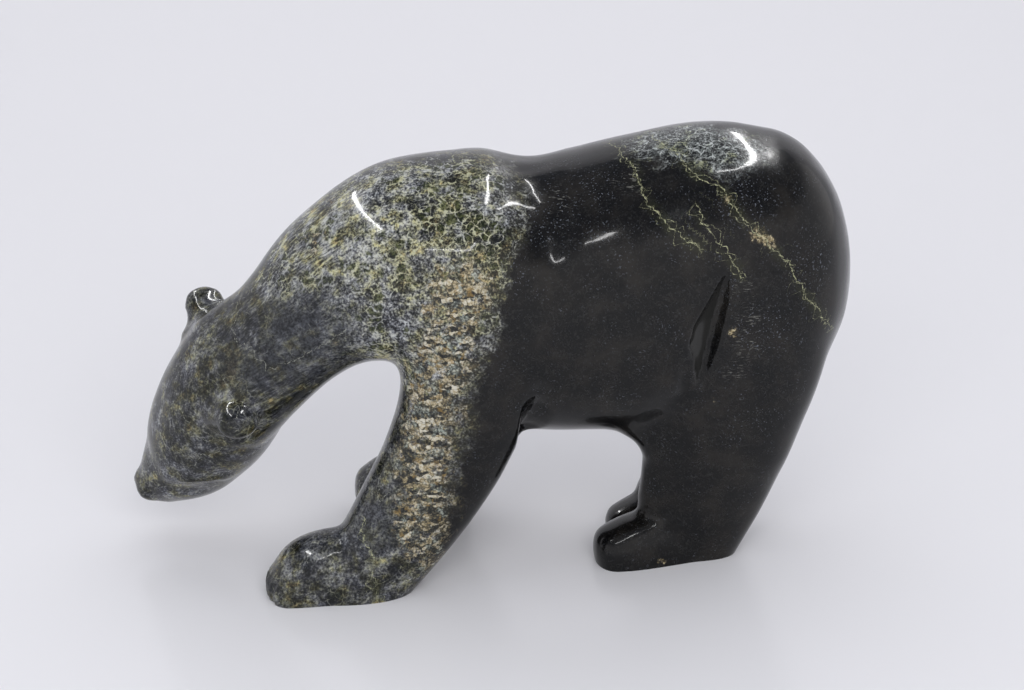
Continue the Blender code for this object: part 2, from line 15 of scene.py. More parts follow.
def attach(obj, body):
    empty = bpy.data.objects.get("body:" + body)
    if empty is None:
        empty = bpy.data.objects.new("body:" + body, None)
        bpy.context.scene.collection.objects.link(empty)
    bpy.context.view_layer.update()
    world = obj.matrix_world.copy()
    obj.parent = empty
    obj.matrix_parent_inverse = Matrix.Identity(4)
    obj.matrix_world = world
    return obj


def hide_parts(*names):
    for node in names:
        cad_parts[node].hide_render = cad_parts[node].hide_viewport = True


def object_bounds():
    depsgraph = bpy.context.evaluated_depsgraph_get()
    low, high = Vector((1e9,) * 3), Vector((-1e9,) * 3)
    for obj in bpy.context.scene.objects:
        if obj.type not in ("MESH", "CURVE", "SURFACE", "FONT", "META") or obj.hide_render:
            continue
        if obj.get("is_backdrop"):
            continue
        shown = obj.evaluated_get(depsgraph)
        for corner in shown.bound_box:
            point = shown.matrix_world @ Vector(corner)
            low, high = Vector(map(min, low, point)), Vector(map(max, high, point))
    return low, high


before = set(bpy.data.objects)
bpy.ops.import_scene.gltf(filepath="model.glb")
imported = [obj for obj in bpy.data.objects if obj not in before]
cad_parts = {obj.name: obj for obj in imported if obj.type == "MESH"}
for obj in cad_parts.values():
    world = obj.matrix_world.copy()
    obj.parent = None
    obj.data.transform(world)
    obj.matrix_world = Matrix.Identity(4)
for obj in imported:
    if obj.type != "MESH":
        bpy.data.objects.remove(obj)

MM = 0.001

# Skin
GRAIN = 1.3
RING_POINTS = 40
RING_STEP = 3
DOME_RINGS = 6

# Trunk, from the rump to the throat: centre, half width, half height above and below, fullness
RUMP_END = 34.5
TRUNK = (
    (98, 0, 120, 42.5, 54.5, 51, 2.2),
    (80, 0, 119, 45, 58.5, 57, 2.2),
    (56, 0, 114, 45.5, 59, 58, 2.25),
    (30, 0, 110, 46, 57.5, 54.5, 2.25),
    (4, 0, 110, 46.5, 55.5, 52.5, 2.2),
    (-22, 0, 113, 47.5, 55.5, 44, 2.2),
    (-44, 0, 116, 43.5, 49, 29.5, 2.1),
    (-64, 0, 111, 36.5, 37.5, 25, 2),
    (-82, 0, 98.5, 31, 29, 22.5, 2),
    (-98, 0, 83, 28, 24.5, 22, 2),
    (-110, 2, 67, 25, 21, 21, 2),
)
NECK_END = 14

# Head: it hangs forward and down, turned to the right and rolled so that the left ear is the lower one
HEAD_AT = (-114.6, 0, 81)
HEAD_FORWARD = (-0.469, 0.248, -0.848)
HEAD_LEFT = (0.249, -0.885, -0.397)
# Distance ahead of the ears, height of the centre, half width, half height above and below, fullness
HEAD = (
    (-26, -7, 20, 17, 17, 2),
    (-14, -8, 25.5, 23, 21.5, 2),
    (0, -8, 27.5, 23.8, 24.5, 2),
    (18, -7.5, 26.5, 23.2, 26, 2.1),
    (34, -7.5, 23.5, 21, 25.5, 2.15),
    (48, -8, 18.8, 17.6, 21, 2.3),
    (59, -6, 13.8, 13.4, 15.5, 2.3),
    (67, -4, 9, 9.6, 10.5, 2.3),
)
HEAD_START = 8
MUZZLE_END = 4
# Nose pad across the muzzle's end: distance ahead, reach to each side, height, half depth, half height, end
NOSE_AHEAD = 66.5
NOSE_REACH = 3.4
NOSE_HEIGHT = -0.8
NOSE_HALF_DEPTH = 6.2
NOSE_HALF_HEIGHT = 6.6
NOSE_FULLNESS = 2.2
NOSE_END = 4.6

# Ears, reach from the head's middle plane to root and tip; the left one is broader, lower and more blended
EAR_ROOT = 18
EAR_TIP = 31
EAR_CROWN = 2
EAR_FLARE = 1.14
EAR_TAPER = 0.8
EAR_START = 4
EAR_END = 6
EAR_SLANT = 0.5
EAR_FULLNESS = 2
EAR_BACK = {"left": 2.5, "right": 7}
EAR_AHEAD = {"left": 2.5, "right": 0}
EAR_HALF_WIDTH = {"left": 10.5, "right": 10}
EAR_HALF_DEPTH = {"left": 8.5, "right": 7}
EAR_CUP_RADIUS = {"left": 7.5, "right": 6}
EAR_CUP_DEPTH = {"left": 0.9, "right": 2.1}
EAR_CUP_BACK = 0.7
EAR_CUP_INSIDE = 5
EAR_CUP_FACING = (0.45, 0, 0.88)
EAR_CUP_OUTWARD = 0.15
EAR_RIM = {
    "path": ((-9.8, 28.5, -6), (-4.7, 29, -8.5), (1.6, 29, -8.8), (7.5, 28.5, -6), (10, 28, -2),
             (10.5, 27, 3)),
    "width": 3.6, "depths": (0, 1.3, 1.6, 1.6, 1.1, 0), "sharp": True}

# Legs, from inside the body to below the floor: centre, half width, half depth in front and behind, fullness
LEG_FRONT_LEFT = (
    (-14, -18, 130, 26, 30, 28, 2.1),
    (-18, -24, 100, 23, 28, 30, 2.2),
    (-26, -28.5, 74, 18.5, 21, 30, 2.3),
    (-38, -31, 50, 15, 17.5, 28.8, 2.4),
    (-54, -32.5, 24, 14, 14.5, 26, 2.4),
    (-68, -33, 0, 14.5, 13, 21, 2.4),
    (-74, -33, -12, 13.5, 12, 18, 2.4),
)
LEG_FRONT_RIGHT = (
    (-14, 18, 130, 26, 30, 28, 2.1),
    (-14, 24, 100, 22, 26, 27, 2.2),
    (-16, 28, 74, 18, 20, 22, 2.3),
    (-21, 30, 46, 15.5, 17, 18, 2.3),
    (-27, 31, 20, 13.5, 17, 12.5, 2.3),
    (-31, 31, 0, 12.5, 17, 14, 2.3),
    (-33, 31, -12, 12, 16, 13, 2.3),
)
LEG_HIND_LEFT = (
    (86, -14, 122, 28, 34, 36, 2.1),
    (86, -18, 92, 24, 34, 36, 2.2),
    (84, -18.5, 64, 18.5, 33, 29.5, 2.3),
    (80, -16, 42, 14.5, 30, 25.5, 2.3),
    (75, -13.5, 22, 11.5, 26.5, 22.8, 2.3),
    (70, -11, 4, 10.5, 22, 20, 2.3),
    (66, -10, -10, 10, 20, 18, 2.3),
)
LEG_HIND_RIGHT = (
    (86, 14, 122, 28, 34, 36, 2.1),
    (86, 18, 92, 24, 34, 36, 2.2),
    (84, 18.5, 64, 18.5, 28, 29.5, 2.3),
    (80, 16.5, 42, 14.5, 24.5, 25.5, 2.3),
    (75, 14.5, 22, 11.5, 21, 22.8, 2.3),
    (70, 12.5, 4, 10, 21, 20, 2.3),
    (66, 12, -10, 9.5, 21, 18, 2.3),
)

LEG_START = 12
LEG_END = 4

# Paws, from heel to toe: centre, half width, half height above and below, fullness
PAW_START = 8
PAW_END = 7
PAW_FRONT_LEFT = (
    (-56, -33, 4, 12, 18, 14, 2.3),
    (-70, -33.5, 6, 13.5, 20, 15, 2.4),
    (-81, -34.2, 6, 14.5, 17, 15, 2.3),
    (-91.5, -34.8, 0.5, 13.5, 11, 12, 2.2),
)
PAW_FRONT_RIGHT = (
    (-24, 31, 4, 12, 16, 14, 2.3),
    (-36, 31, 7, 13, 18.5, 15, 2.4),
    (-46, 31, 7.5, 13, 19, 15, 2.4),
    (-55, 31, 5, 12.5, 15.5, 12, 2.4),
)
PAW_HIND_LEFT = (
    (80, -10, 4, 9.5, 12, 12, 2.3),
    (64, -13, 5, 10.5, 16.5, 14, 2.6),
    (48.5, -15.5, 4, 11.5, 14.5, 14, 2.7),
    (38.8, -17, 2, 11, 12.5, 12, 2.5),
)
PAW_HIND_RIGHT = (
    (80, 10, 4, 9, 12, 12, 2.3),
    (68, 9.5, 5, 10.5, 13.5, 14, 2.6),
    (54.5, 8.5, 4, 11, 11.5, 14, 2.7),
    (46, 8, 1.5, 10.5, 9.5, 12, 2.5),
)

# Fold of skin from the belly to the front of each thigh: centre, half width, half depth, fullness
FLANK_FOLD = (
    (42, -22, 76, 12, 13, 13, 2),
    (50, -20, 62, 9, 9, 9, 2),
    (59, -17, 47, 7, 6.5, 6.5, 2),
)
FOLD_START = 6
FOLD_END = 5

# Softening: area each point of the skin is evened over, and how much of it reaches the finer forms
EVENED_AREA = 154
SOFT_HEAD = 0.10
SOFT_PAWS = 0.16
SOFT_LEGS = 0.40
# Heights between which the softness changes from paw to leg and from leg to trunk
PAW_HEIGHTS = (26, 40)
LEG_HEIGHTS = (38, 66)
# Where the head's softness sets in: ahead of the ears, out on the ears, and along the neck
HEAD_BEGINS = (-12, 4)
EARS_BEGIN = (22, 27)
EARS_BEHIND = (-30, -20)
NECK_BEGINS = (-95, -80)
LIGHT_PASSES = 3


# Carved details on the left side, repeated on the right. Paths run over the skin; a way of -1 is raised, and
# a shift moves the right side's path. First the leaf-shaped hollow, by height.
THIGH_HOLLOW_HEIGHTS = (84, 91, 98, 105, 113.5, 124, 137.5)
THIGH_HOLLOW_FRONT = (66.5, 66, 65.3, 63.1, 65, 70.7, 78)
THIGH_HOLLOW_FOOT = (68.5, 69.8, 71, 72.4, 73.8, 76, 77.6)
THIGH_HOLLOW_BACK = (71, 73.6, 75.4, 76.9, 78.7, 80.6, 81)
THIGH_HOLLOW_DEPTH = 5.6
THIGH_HOLLOW_LIP = 1.3
THIGH_HOLLOW_LIP_EDGE = 1.6
THIGH_HOLLOW_EDGE = 3
THIGH_HOLLOW_ROUND = 0.6
FLANK_FROM = 20
THIGH_SCOOP = {
    "path": ((64.8, -41.8, 103.3), (63.4, -41.5, 98.2), (63.2, -40.1, 91.3), (63.2, -38.3, 84.2),
             (63.2, -36, 76.7)),
    "width": 4.6, "depths": (0, 1.5, 2.2, 1.6, 0)}
GROIN = {
    "path": ((59.5, -41, 90), (57, -36, 77), (54.5, -29, 66), (51.5, -22, 57)),
    "width": 9, "depths": (0, 1.2, 2.2, 1.6), "sharp": True}
ELBOW = {
    "path": ((7.5, -44.7, 95), (7.4, -42.5, 86), (6.5, -38.5, 76), (4, -31, 64)),
    "width": 6.5, "depths": (0, 1.8, 4, 4.5), "sharp": True}
SADDLE = {
    "path": ((4, 0, 166), (4, -8.6, 165), (7.2, -20.8, 161), (9.5, -30.1, 154.4),
             (9.8, -36.5, 147), (8.4, -42, 136), (6, -46, 122)),
    "width": 17, "depths": (0.8, 1.2, 1.8, 2.4, 2.4, 1.4, 0)}
RIBS = {
    "path": ((12, -41, 138), (34, -39, 144), (60, -39, 148)),
    "width": 30, "depths": (0, 1.2, 0), "way": -1}
INSTEP_RIDGE = {
    "path": ((44, -23, 12.5), (54.8, -21.5, 16), (62.3, -22.2, 19.3), (71, -25.5, 26)),
    "width": 4, "depths": (0, 1, 1.3, 0), "sharp": True, "way": -1, "shift": -3}
INSTEP = {
    "path": ((50, -14, 20), (58, -15.5, 23), (66, -18.5, 30)),
    "width": 8, "depths": 0.3, "shift": -3}
ON_BOTH_SIDES = (SADDLE, RIBS, GROIN, ELBOW, INSTEP, INSTEP_RIDGE, THIGH_SCOOP)

# Grooves between the toes of the front paws: how far from the paw's middle line, and their size
TOE_GROOVES = (-8.4, -4.2, 0, 4.2, 8.4)
TOE_WIDTH = 1.7
TOE_DEPTH = 1.7
TOE_HEIGHT = 12
TOE_BACK = -1
TOE_FADE = 6
TOE_REACH = 16

# Carved details of the head, as distances ahead of the ears, to the left and toward the crown
BRIDGE_BEGINS = (10, 28)
BRIDGE_ENDS = (50, 62)
BRIDGE_CUT = 0.5
BRIDGE_FLATNESS = 0.6
BRIDGE_EDGE = 1.5
BRIDGE_SKIN = 6
JAW_RIDGE = {
    "path": ((54.5, 9, 5.5), (48.3, 14.7, 3.3), (41, 21.3, -3.1), (36.6, 22.9, -11.3), (38.3, 19.7, -19.5)),
    "width": 3.4, "depths": (0, 0.9, 1.2, 1.1, 0), "sharp": True, "way": -1}
JAW_FACET = {
    "path": ((58.3, 9.1, 3.9), (54.3, 15.3, -0.2), (50.6, 18.1, -6.8), (44.8, 19.7, -12.6)),
    "width": 7, "depths": (0, 0.8, 0.9, 0)}


def smooth_row(rows, at):
    """A row between the given rows, on a curve that passes through each of them."""
    last = len(rows) - 1
    index = min(int(at), last - 1)
    t = at - index
    before = rows[max(index - 1, 0)]
    first = rows[index]
    second = rows[index + 1]
    after = rows[min(index + 2, last)]
    slope_a = (second - before) * (0.5 if index > 0 else 1)
    slope_b = (after - first) * (0.5 if index + 2 <= last else 1)
    t2 = t * t
    t3 = t2 * t
    return (
        first * (2 * t3 - 3 * t2 + 1)
        + slope_a * (t3 - 2 * t2 + t)
        + second * (3 * t2 - 2 * t3)
        + slope_b * (t3 - t2)
    )


def ring(centre, side, up, row):
    """One closed section: a superellipse with its own height above and below."""
    wide, above, below, fullness = row
    points = []
    for index in range(RING_POINTS):
        angle = 2 * pi * index / RING_POINTS
        x = abs(cos(angle)) ** (2 / fullness) * (1 if cos(angle) >= 0 else -1)
        y = abs(sin(angle)) ** (2 / fullness) * (1 if sin(angle) >= 0 else -1)
        points.append(centre + side * (x * wide) + up * (y * (above if y >= 0 else below)))
    return points


def loft(shape, stations, start_dome, end_dome, lateral=Vector((0, 1, 0))):
    """Adds a closed body through the stations, with a rounded dome past each end."""
    rows = np.array(stations, float)
    spans = np.linalg.norm(np.diff(rows[:, :3], axis=0), axis=1)
    ats = [0]
    for index, span in enumerate(spans):
        count = max(2, round(span / RING_STEP))
        ats.extend(index + (k + 1) / count for k in range(count))
    sampled = np.array([smooth_row(rows, at) for at in ats])
    centres = [Vector(row[:3]) for row in sampled]
    rings = []
    for index, row in enumerate(sampled):
        ahead = centres[min(index + 1, len(centres) - 1)]
        behind = centres[max(index - 1, 0)]
        along = (ahead - behind).normalized()
        up = lateral.cross(along).normalized()
        side = along.cross(up)
        rings.append((centres[index], along, side, up, row[3:]))
    sections = []
    for dome, at, direction in ((start_dome, rings[0], -1), (end_dome, rings[-1], 1)):
        centre, along, side, up, row = at
        cap = []
        for k in range(1, DOME_RINGS):
            angle = k / DOME_RINGS * pi / 2
            scale = np.array([cos(angle)] * 3 + [1])
            cap.append(ring(centre + along * (direction * dome * sin(angle)), side, up, row * scale))
        tip = centre + along * (direction * dome)
        sections.append((cap, tip))
    (start_cap, start_tip), (end_cap, end_tip) = sections
    body = [ring(c, side, up, row) for c, _, side, up, row in rings]
    all_rings = start_cap[::-1] + body + end_cap
    made = [[shape.verts.new(p * MM) for p in points] for points in all_rings]
    tips = [shape.verts.new(start_tip * MM), shape.verts.new(end_tip * MM)]
    for first, second in zip(made, made[1:]):
        for k in range(RING_POINTS):
            n = (k + 1) % RING_POINTS
            shape.faces.new((first[k], first[n], second[n], second[k]))
    for k in range(RING_POINTS):
        n = (k + 1) % RING_POINTS
        shape.faces.new((made[0][n], made[0][k], tips[0]))
        shape.faces.new((made[-1][k], made[-1][n], tips[1]))


def head_axes():
    forward = Vector(HEAD_FORWARD).normalized()
    left = Vector(HEAD_LEFT)
    left = (left - forward * left.dot(forward)).normalized()
    return forward, left, forward.cross(left)


def masses():
    """All the round masses as one mesh of separate closed bodies."""
    shape = bmesh.new()
    loft(shape, TRUNK, RUMP_END, NECK_END)
    forward, left, crown = head_axes()
    middle = Vector(HEAD_AT)
    head = [(*(middle + forward * ahead + crown * up), *sizes) for ahead, up, *sizes in HEAD]
    loft(shape, head, HEAD_START, MUZZLE_END, -left)
    tip = middle + forward * NOSE_AHEAD + crown * NOSE_HEIGHT
    size = (NOSE_HALF_DEPTH, NOSE_HALF_HEIGHT, NOSE_HALF_HEIGHT, NOSE_FULLNESS)
    nose = [(*(tip + left * aside), *size) for aside in (-NOSE_REACH, NOSE_REACH)]
    loft(shape, nose, NOSE_END, NOSE_END, forward)
    across = (crown + forward * EAR_SLANT).normalized()
    for side, hand in (("left", 1), ("right", -1)):
        root = middle + left * (hand * EAR_ROOT) + forward * EAR_AHEAD[side]
        tip = middle + left * (hand * EAR_TIP) - forward * EAR_BACK[side] + crown * EAR_CROWN
        wide = EAR_HALF_WIDTH[side]
        deep = EAR_HALF_DEPTH[side]
        ear = [(*at, share * wide, share * deep, share * deep, EAR_FULLNESS)
               for at, share in ((root, EAR_FLARE), (tip, EAR_TAPER))]
        loft(shape, ear, EAR_START, EAR_END, across)
    for leg in (LEG_FRONT_LEFT, LEG_FRONT_RIGHT, LEG_HIND_LEFT, LEG_HIND_RIGHT):
        loft(shape, leg, LEG_START, LEG_END)
    for fold in (FLANK_FOLD, [(x, -y, *rest) for x, y, *rest in FLANK_FOLD]):
        loft(shape, fold, FOLD_START, FOLD_END)
    for paw in (PAW_FRONT_LEFT, PAW_FRONT_RIGHT, PAW_HIND_LEFT, PAW_HIND_RIGHT):
        loft(shape, paw, PAW_START, PAW_END)
    bmesh.ops.recalc_face_normals(shape, faces=shape.faces)
    return shape


def placed(name, data):
    """A new object in the scene."""
    item = bpy.data.objects.new(name, data)
    bpy.context.scene.collection.objects.link(item)
    return item


def baked(item):
    """Works the item's modifiers into its mesh."""
    graph = bpy.context.evaluated_depsgraph_get()
    mesh = bpy.data.meshes.new_from_object(item.evaluated_get(graph))
    item.modifiers.clear()
    item.data = mesh


def read(mesh, name):
    """One row of three numbers for each vertex."""
    flat = np.empty(len(mesh.vertices) * 3)
    mesh.vertices.foreach_get(name, flat)
    return flat.reshape(-1, 3)


def points_of(mesh):
    """The mesh's vertices in millimetres."""
    return read(mesh, "co") / MM


def move(item, points):
    """Puts the vertices at the given points, in metres."""
    item.data.vertices.foreach_set("co", points.ravel())
    item.data.update()


def step(low, high, value):
    """0 below low, 1 above high and a smooth rise between them."""
    t = np.clip((value - low) / (high - low), 0, 1)
    return t * t * (3 - 2 * t)


def softness(points):
    """How freely the skin is evened out at each point."""
    x, y, z = points.T
    forward, left, _ = head_axes()
    away = points - np.array(HEAD_AT)
    ahead = away @ np.array(forward)
    aside = np.abs(away @ np.array(left))
    share = SOFT_PAWS + (SOFT_LEGS - SOFT_PAWS) * step(*PAW_HEIGHTS, z)
    share += (1 - SOFT_LEGS) * step(*LEG_HEIGHTS, z)
    near_head = np.maximum(step(*HEAD_BEGINS, ahead), step(*EARS_BEGIN, aside) * step(*EARS_BEHIND, ahead))
    near_head *= 1 - step(*NECK_BEGINS, x)
    return share * (1 - near_head) + SOFT_HEAD * near_head


def soften(item, passes, weights=None):
    modifier = item.modifiers.new("soften", "SMOOTH")
    modifier.factor = 0.5
    modifier.iterations = passes
    if weights is not None:
        group = item.vertex_groups.new(name="soft")
        for index, weight in enumerate(weights):
            group.add((index,), float(weight), "REPLACE")
        modifier.vertex_group = group.name
    baked(item)
    item.vertex_groups.clear()


def reach(points, path):
    """Each point's distance to the path, and where along it the nearest spot lies, from 0 to 1."""
    path = np.array(path, float)
    nearest = np.full(len(points), np.inf)
    along = np.zeros(len(points))
    for index, (first, second) in enumerate(zip(path, path[1:])):
        span = second - first
        t = np.clip((points - first) @ span / (span @ span), 0, 1)
        gap = np.linalg.norm(points - first - t[:, None] * span, axis=1)
        closer = gap < nearest
        nearest = np.where(closer, gap, nearest)
        along = np.where(closer, (index + t) / (len(path) - 1), along)
    return nearest, along


def on_side(hand, path, shift=0, **rest):
    """A carved detail as it is on the left side, or its mirror image where the hand is -1."""
    if hand == -1:
        path = tuple((x, shift - y, z) for x, y, z in path)
    return {"path": path, **rest}


def eased(along, values):
    """The values spread evenly from 0 to 1, with a smooth change from each to the next."""
    values = np.array(values, float)
    place = np.clip(along, 0, 1) * (len(values) - 1)
    index = np.minimum(place.astype(int), len(values) - 2)
    return values[index] + (values[index + 1] - values[index]) * step(0, 1, place - index)


def press(points, normals, path, width, depths, sharp=False, way=1):
    """Presses the skin in along a path, or raises it where the way is -1."""
    gap, along = reach(points, path)
    depth = eased(along, depths) if np.ndim(depths) else depths
    near = np.clip(1 - gap / width, 0, 1) if sharp else np.clip(1 - (gap / width) ** 2, 0, 1) ** 2
    return points - way * normals * (depth * near)[:, None]


def thigh_hollow(points):
    """The leaf-shaped hollow on each thigh: a small lip in front, deeper toward a steep wall at the back."""
    x, y, z = points.T
    front, foot, back = (np.interp(z, THIGH_HOLLOW_HEIGHTS, edge)
                         for edge in (THIGH_HOLLOW_FRONT, THIGH_HOLLOW_FOOT, THIGH_HOLLOW_BACK))
    low = THIGH_HOLLOW_HEIGHTS[0]
    high = THIGH_HOLLOW_HEIGHTS[-1]
    lengthwise = np.sin(pi * np.clip((z - low) / (high - low), 0, 1)) ** THIGH_HOLLOW_ROUND
    inward = np.clip((x - front) / np.maximum(foot - front, THIGH_HOLLOW_EDGE), 0, 1)
    floor = THIGH_HOLLOW_LIP * step(front, front + THIGH_HOLLOW_LIP_EDGE, x)
    floor += (THIGH_HOLLOW_DEPTH - THIGH_HOLLOW_LIP) * inward
    wall = 1 - step(foot, back, x)
    depth = np.where(np.abs(y) > FLANK_FROM, floor * wall * lengthwise, 0)
    moved = points.copy()
    moved[:, 1] -= np.sign(y) * depth
    return moved


def toe_grooves(points, paw):
    """Short upright grooves over the front of a paw, with a toe between each pair."""
    x, y, z = points.T
    tip, middle, *_ = paw[-1]
    near = 1 - step(tip + TOE_BACK, tip + TOE_BACK + TOE_FADE, x)
    low = 1 - step(TOE_HEIGHT - TOE_FADE, TOE_HEIGHT, z)
    depth = np.zeros(len(points))
    for place in TOE_GROOVES:
        across = np.clip(1 - np.abs(y - middle - place) / TOE_WIDTH, 0, 1)
        depth = np.maximum(depth, TOE_DEPTH * across * near * low)
    beside = np.abs(y - middle) < TOE_REACH
    return points + np.outer(depth * beside, (1, 0, 0))


def carve_head(points, normals):
    forward, left, crown = (np.array(axis) for axis in head_axes())
    axes = np.stack([forward, left, crown])
    local = (points - np.array(HEAD_AT)) @ axes.T
    turned = normals @ axes.T
    for side, hand in (("left", 1), ("right", -1)):
        local = press(local, turned, **on_side(hand, **JAW_FACET))
        local = press(local, turned, **on_side(hand, **JAW_RIDGE))
        toward = np.array(EAR_CUP_FACING)
        ear = np.array((-EAR_BACK[side] * EAR_CUP_BACK, hand * (EAR_TIP - EAR_CUP_INSIDE), EAR_CROWN))
        cup = ear + (toward - np.array((0, EAR_CUP_OUTWARD * hand, 0))) * EAR_HALF_DEPTH[side]
        gap = np.linalg.norm(local - cup, axis=1)
        cupped = np.clip(1 - (gap / EAR_CUP_RADIUS[side]) ** 2, 0, 1)
        local = local - toward * (EAR_CUP_DEPTH[side] * cupped)[:, None]
        local = press(local, turned, **on_side(hand, **EAR_RIM))
    ahead, aside, height = local.T
    top = np.interp(ahead, [row[0] for row in HEAD], [row[1] + row[3] for row in HEAD])
    bridge = step(*BRIDGE_BEGINS, ahead) * (1 - step(*BRIDGE_ENDS, ahead))
    over = height - top + BRIDGE_CUT * bridge
    bent = (over - np.sqrt(over ** 2 + BRIDGE_EDGE ** 2)) / 2
    near_top = step(-BRIDGE_SKIN, 0, over)
    local[:, 2] = height + BRIDGE_FLATNESS * bridge * near_top * (bent - over)
    return local @ axes + np.array(HEAD_AT)


def carve(item):
    points = points_of(item.data)
    normals = read(item.data, "normal")
    for detail in ON_BOTH_SIDES:
        for hand in (1, -1):
            points = press(points, normals, **on_side(hand, **detail))
    points = thigh_hollow(points)
    for paw in (PAW_FRONT_LEFT, PAW_FRONT_RIGHT):
        points = toe_grooves(points, paw)
    move(item, carve_head(points, normals) * MM)


def saw_soles(item):
    """Cuts the carving off level with the floor and closes the flat soles."""
    shape = bmesh.new()
    shape.from_mesh(item.data)
    everything = shape.verts[:] + shape.edges[:] + shape.faces[:]
    cut = bmesh.ops.bisect_plane(
        shape, geom=everything, dist=1e-7, plane_co=(0, 0, 0), plane_no=(0, 0, -1), clear_outer=True
    )
    rims = [edge for edge in cut["geom_cut"] if isinstance(edge, bmesh.types.BMEdge)]
    bmesh.ops.holes_fill(shape, edges=rims, sides=0)
    shape.to_mesh(item.data)
    shape.free()


# Colour zones of the block, in the same millimetres as the masses. First where the mottled front part ends
# and the black part begins, by height.
BLACK_HEIGHTS = (0, 16, 43, 87, 115, 130, 145, 160, 170)
BLACK_FROM = (-36, -31, -24, -17, -8, -5, 0, 2, -8)
TAN_BAND = ((-21.8, -45, 131.1), (-27.3, -46.6, 115.7), (-30.4, -45.1, 98.7), (-33.6, -45.3, 82.2),
            (-37.6, -45.4, 65.5), (-38.6, -45.8, 48.6), (-36.9, -45.1, 30.9), (-31, -41.8, 18))
TAN_REACH = 11
TAN_SPOTS = (((-76, -18.3, 142), 4), ((-70, -8.1, 152), 3), ((-86, -20.6, 130), 1.5))
OCHRE_SPOTS = (((90, -38.2, 147.6), 3), ((93.2, -38.3, 144.8), 3), ((78.5, -33.5, 160.5), 1.6),
               ((81, -43.6, 111), 2), ((74.5, -37, 80), 1.8), ((58, -26.5, 3), 1.8))
DUSTY_SPOTS = (((8, -28, 156), 14), ((-4, -44, 138), 8), ((30, -22, 163), 8),
               ((92, -43, 110), 10), ((112, -38, 135), 10), ((84, -30, 160), 12))
# Clouds in the mottled part: place, radius, warmth from blue-grey to olive, lightness, share of cells
CLOUDS = (
    (-22, -8, 166, 11, 0.5, -1.2, 1), (-21, -26, 159, 11, 0.7, -1.2, 1),
    (-30, -31, 154, 8, 0.8, -0.8, 1), (-43, -2, 164, 9, -0.3, 0.3, 0),
    (-41, -17, 161, 10, -0.6, 0.8, 0.2), (-60, -8, 155, 10, 0.3, 0.7, 0),
    (-74, -19, 142, 11, 0.2, 0.6, 0), (-63, -29, 142, 10, -0.1, 0.8, 0),
    (-50, -31, 148, 9, 0.1, 0.5, 0.1), (-51, -38, 134, 10, 0.9, -0.3, 0.6),
    (-40, -38, 141, 7, 0.1, 0.2, 0.3), (-29, -35.5, 148.5, 6, 0.3, -0.9, 0.8),
    (-8, -29, 157, 9, -0.7, -0.6, 0.2), (-51, -40.5, 119, 9, -0.8, -0.5, 0),
    (-67, -34, 123, 10, -0.7, -0.5, 0), (-17, -42, 138, 12, 1.3, -0.9, 0.4),
    (-7, -42, 138, 9, 1, -1, 0.3), (-5, -36, 150, 8, 0.4, -1.2, 0.3),
    (-110, -22, 89, 8, 1, -0.2, 0.3), (-116, -23.5, 77, 7, 0.9, -0.3, 0),
    (-104, -10, 114, 8, 0.9, 0.3, 0), (-91, -27, 80, 7, 1, -0.1, 0),
    (-133, -10, 56, 8, 0.5, -0.4, 0), (-82, -30, 110, 12, -0.5, -0.5, 0),
    (-102, -22, 104, 9, -0.5, -0.5, 0), (-136, -2, 34, 5, -0.9, 1, 0),
    (-95, -32, 12, 8, 0.9, 0.4, 0), (-75, -38, 20, 10, -0.8, 0.2, 0),
    (-126, -18, 38, 11, -0.2, -0.7, 0), (-14, -37, 146, 9, 0.2, -0.5, 0.2),
)
DARK_SPOTS = (((-78, -30, 107), 24), ((-103, -22, 92), 13), ((-58, -40, 34), 16))
LACE_HEART = ((-72, -15, 145), (-50, -28, 142), (-28, -30, 152), (-42, -40, 118))
LACE_FULL = 16
LACE_GONE = 46
# The grain is drawn out along the neck, and not on the head or the paw
NECK_STREAKS = (-78, -50)
HEAD_STREAKS = (-128, -100)
PAW_STREAKS = (40, 70)
SCRATCHES = (((84.7, -43.9, 127.5), 5), ((87.5, -43.1, 115), 6), ((87, -43.1, 103), 6),
             ((82.3, -41.9, 93.6), 5), ((44, -20, 163), 8), ((15, -24, 158), 6))
CRACKLE = ((56, -4, 175), (68, -8, 175), (79, -13, 173))
CRACKLE_REACH = 15.5
# How the black part's edge leans over the back, and how the tan band narrows round the leg
BACK_FROM = -40
BACK_LEAN = 0.0875
TAN_ROUND = (-30, -10)
TAN_NARROWER = 10
# How softly the painted reflection on the thigh hollow's floor sets in (a lighter grey that stands in for the
# bright floor mirrored there): at its ends, in front and at the foot of its wall
FACET_LOW = 6
FACET_HIGH = 3
FACET_FRONT = (0.6, 1.6)
FACET_FOOT = -1.5

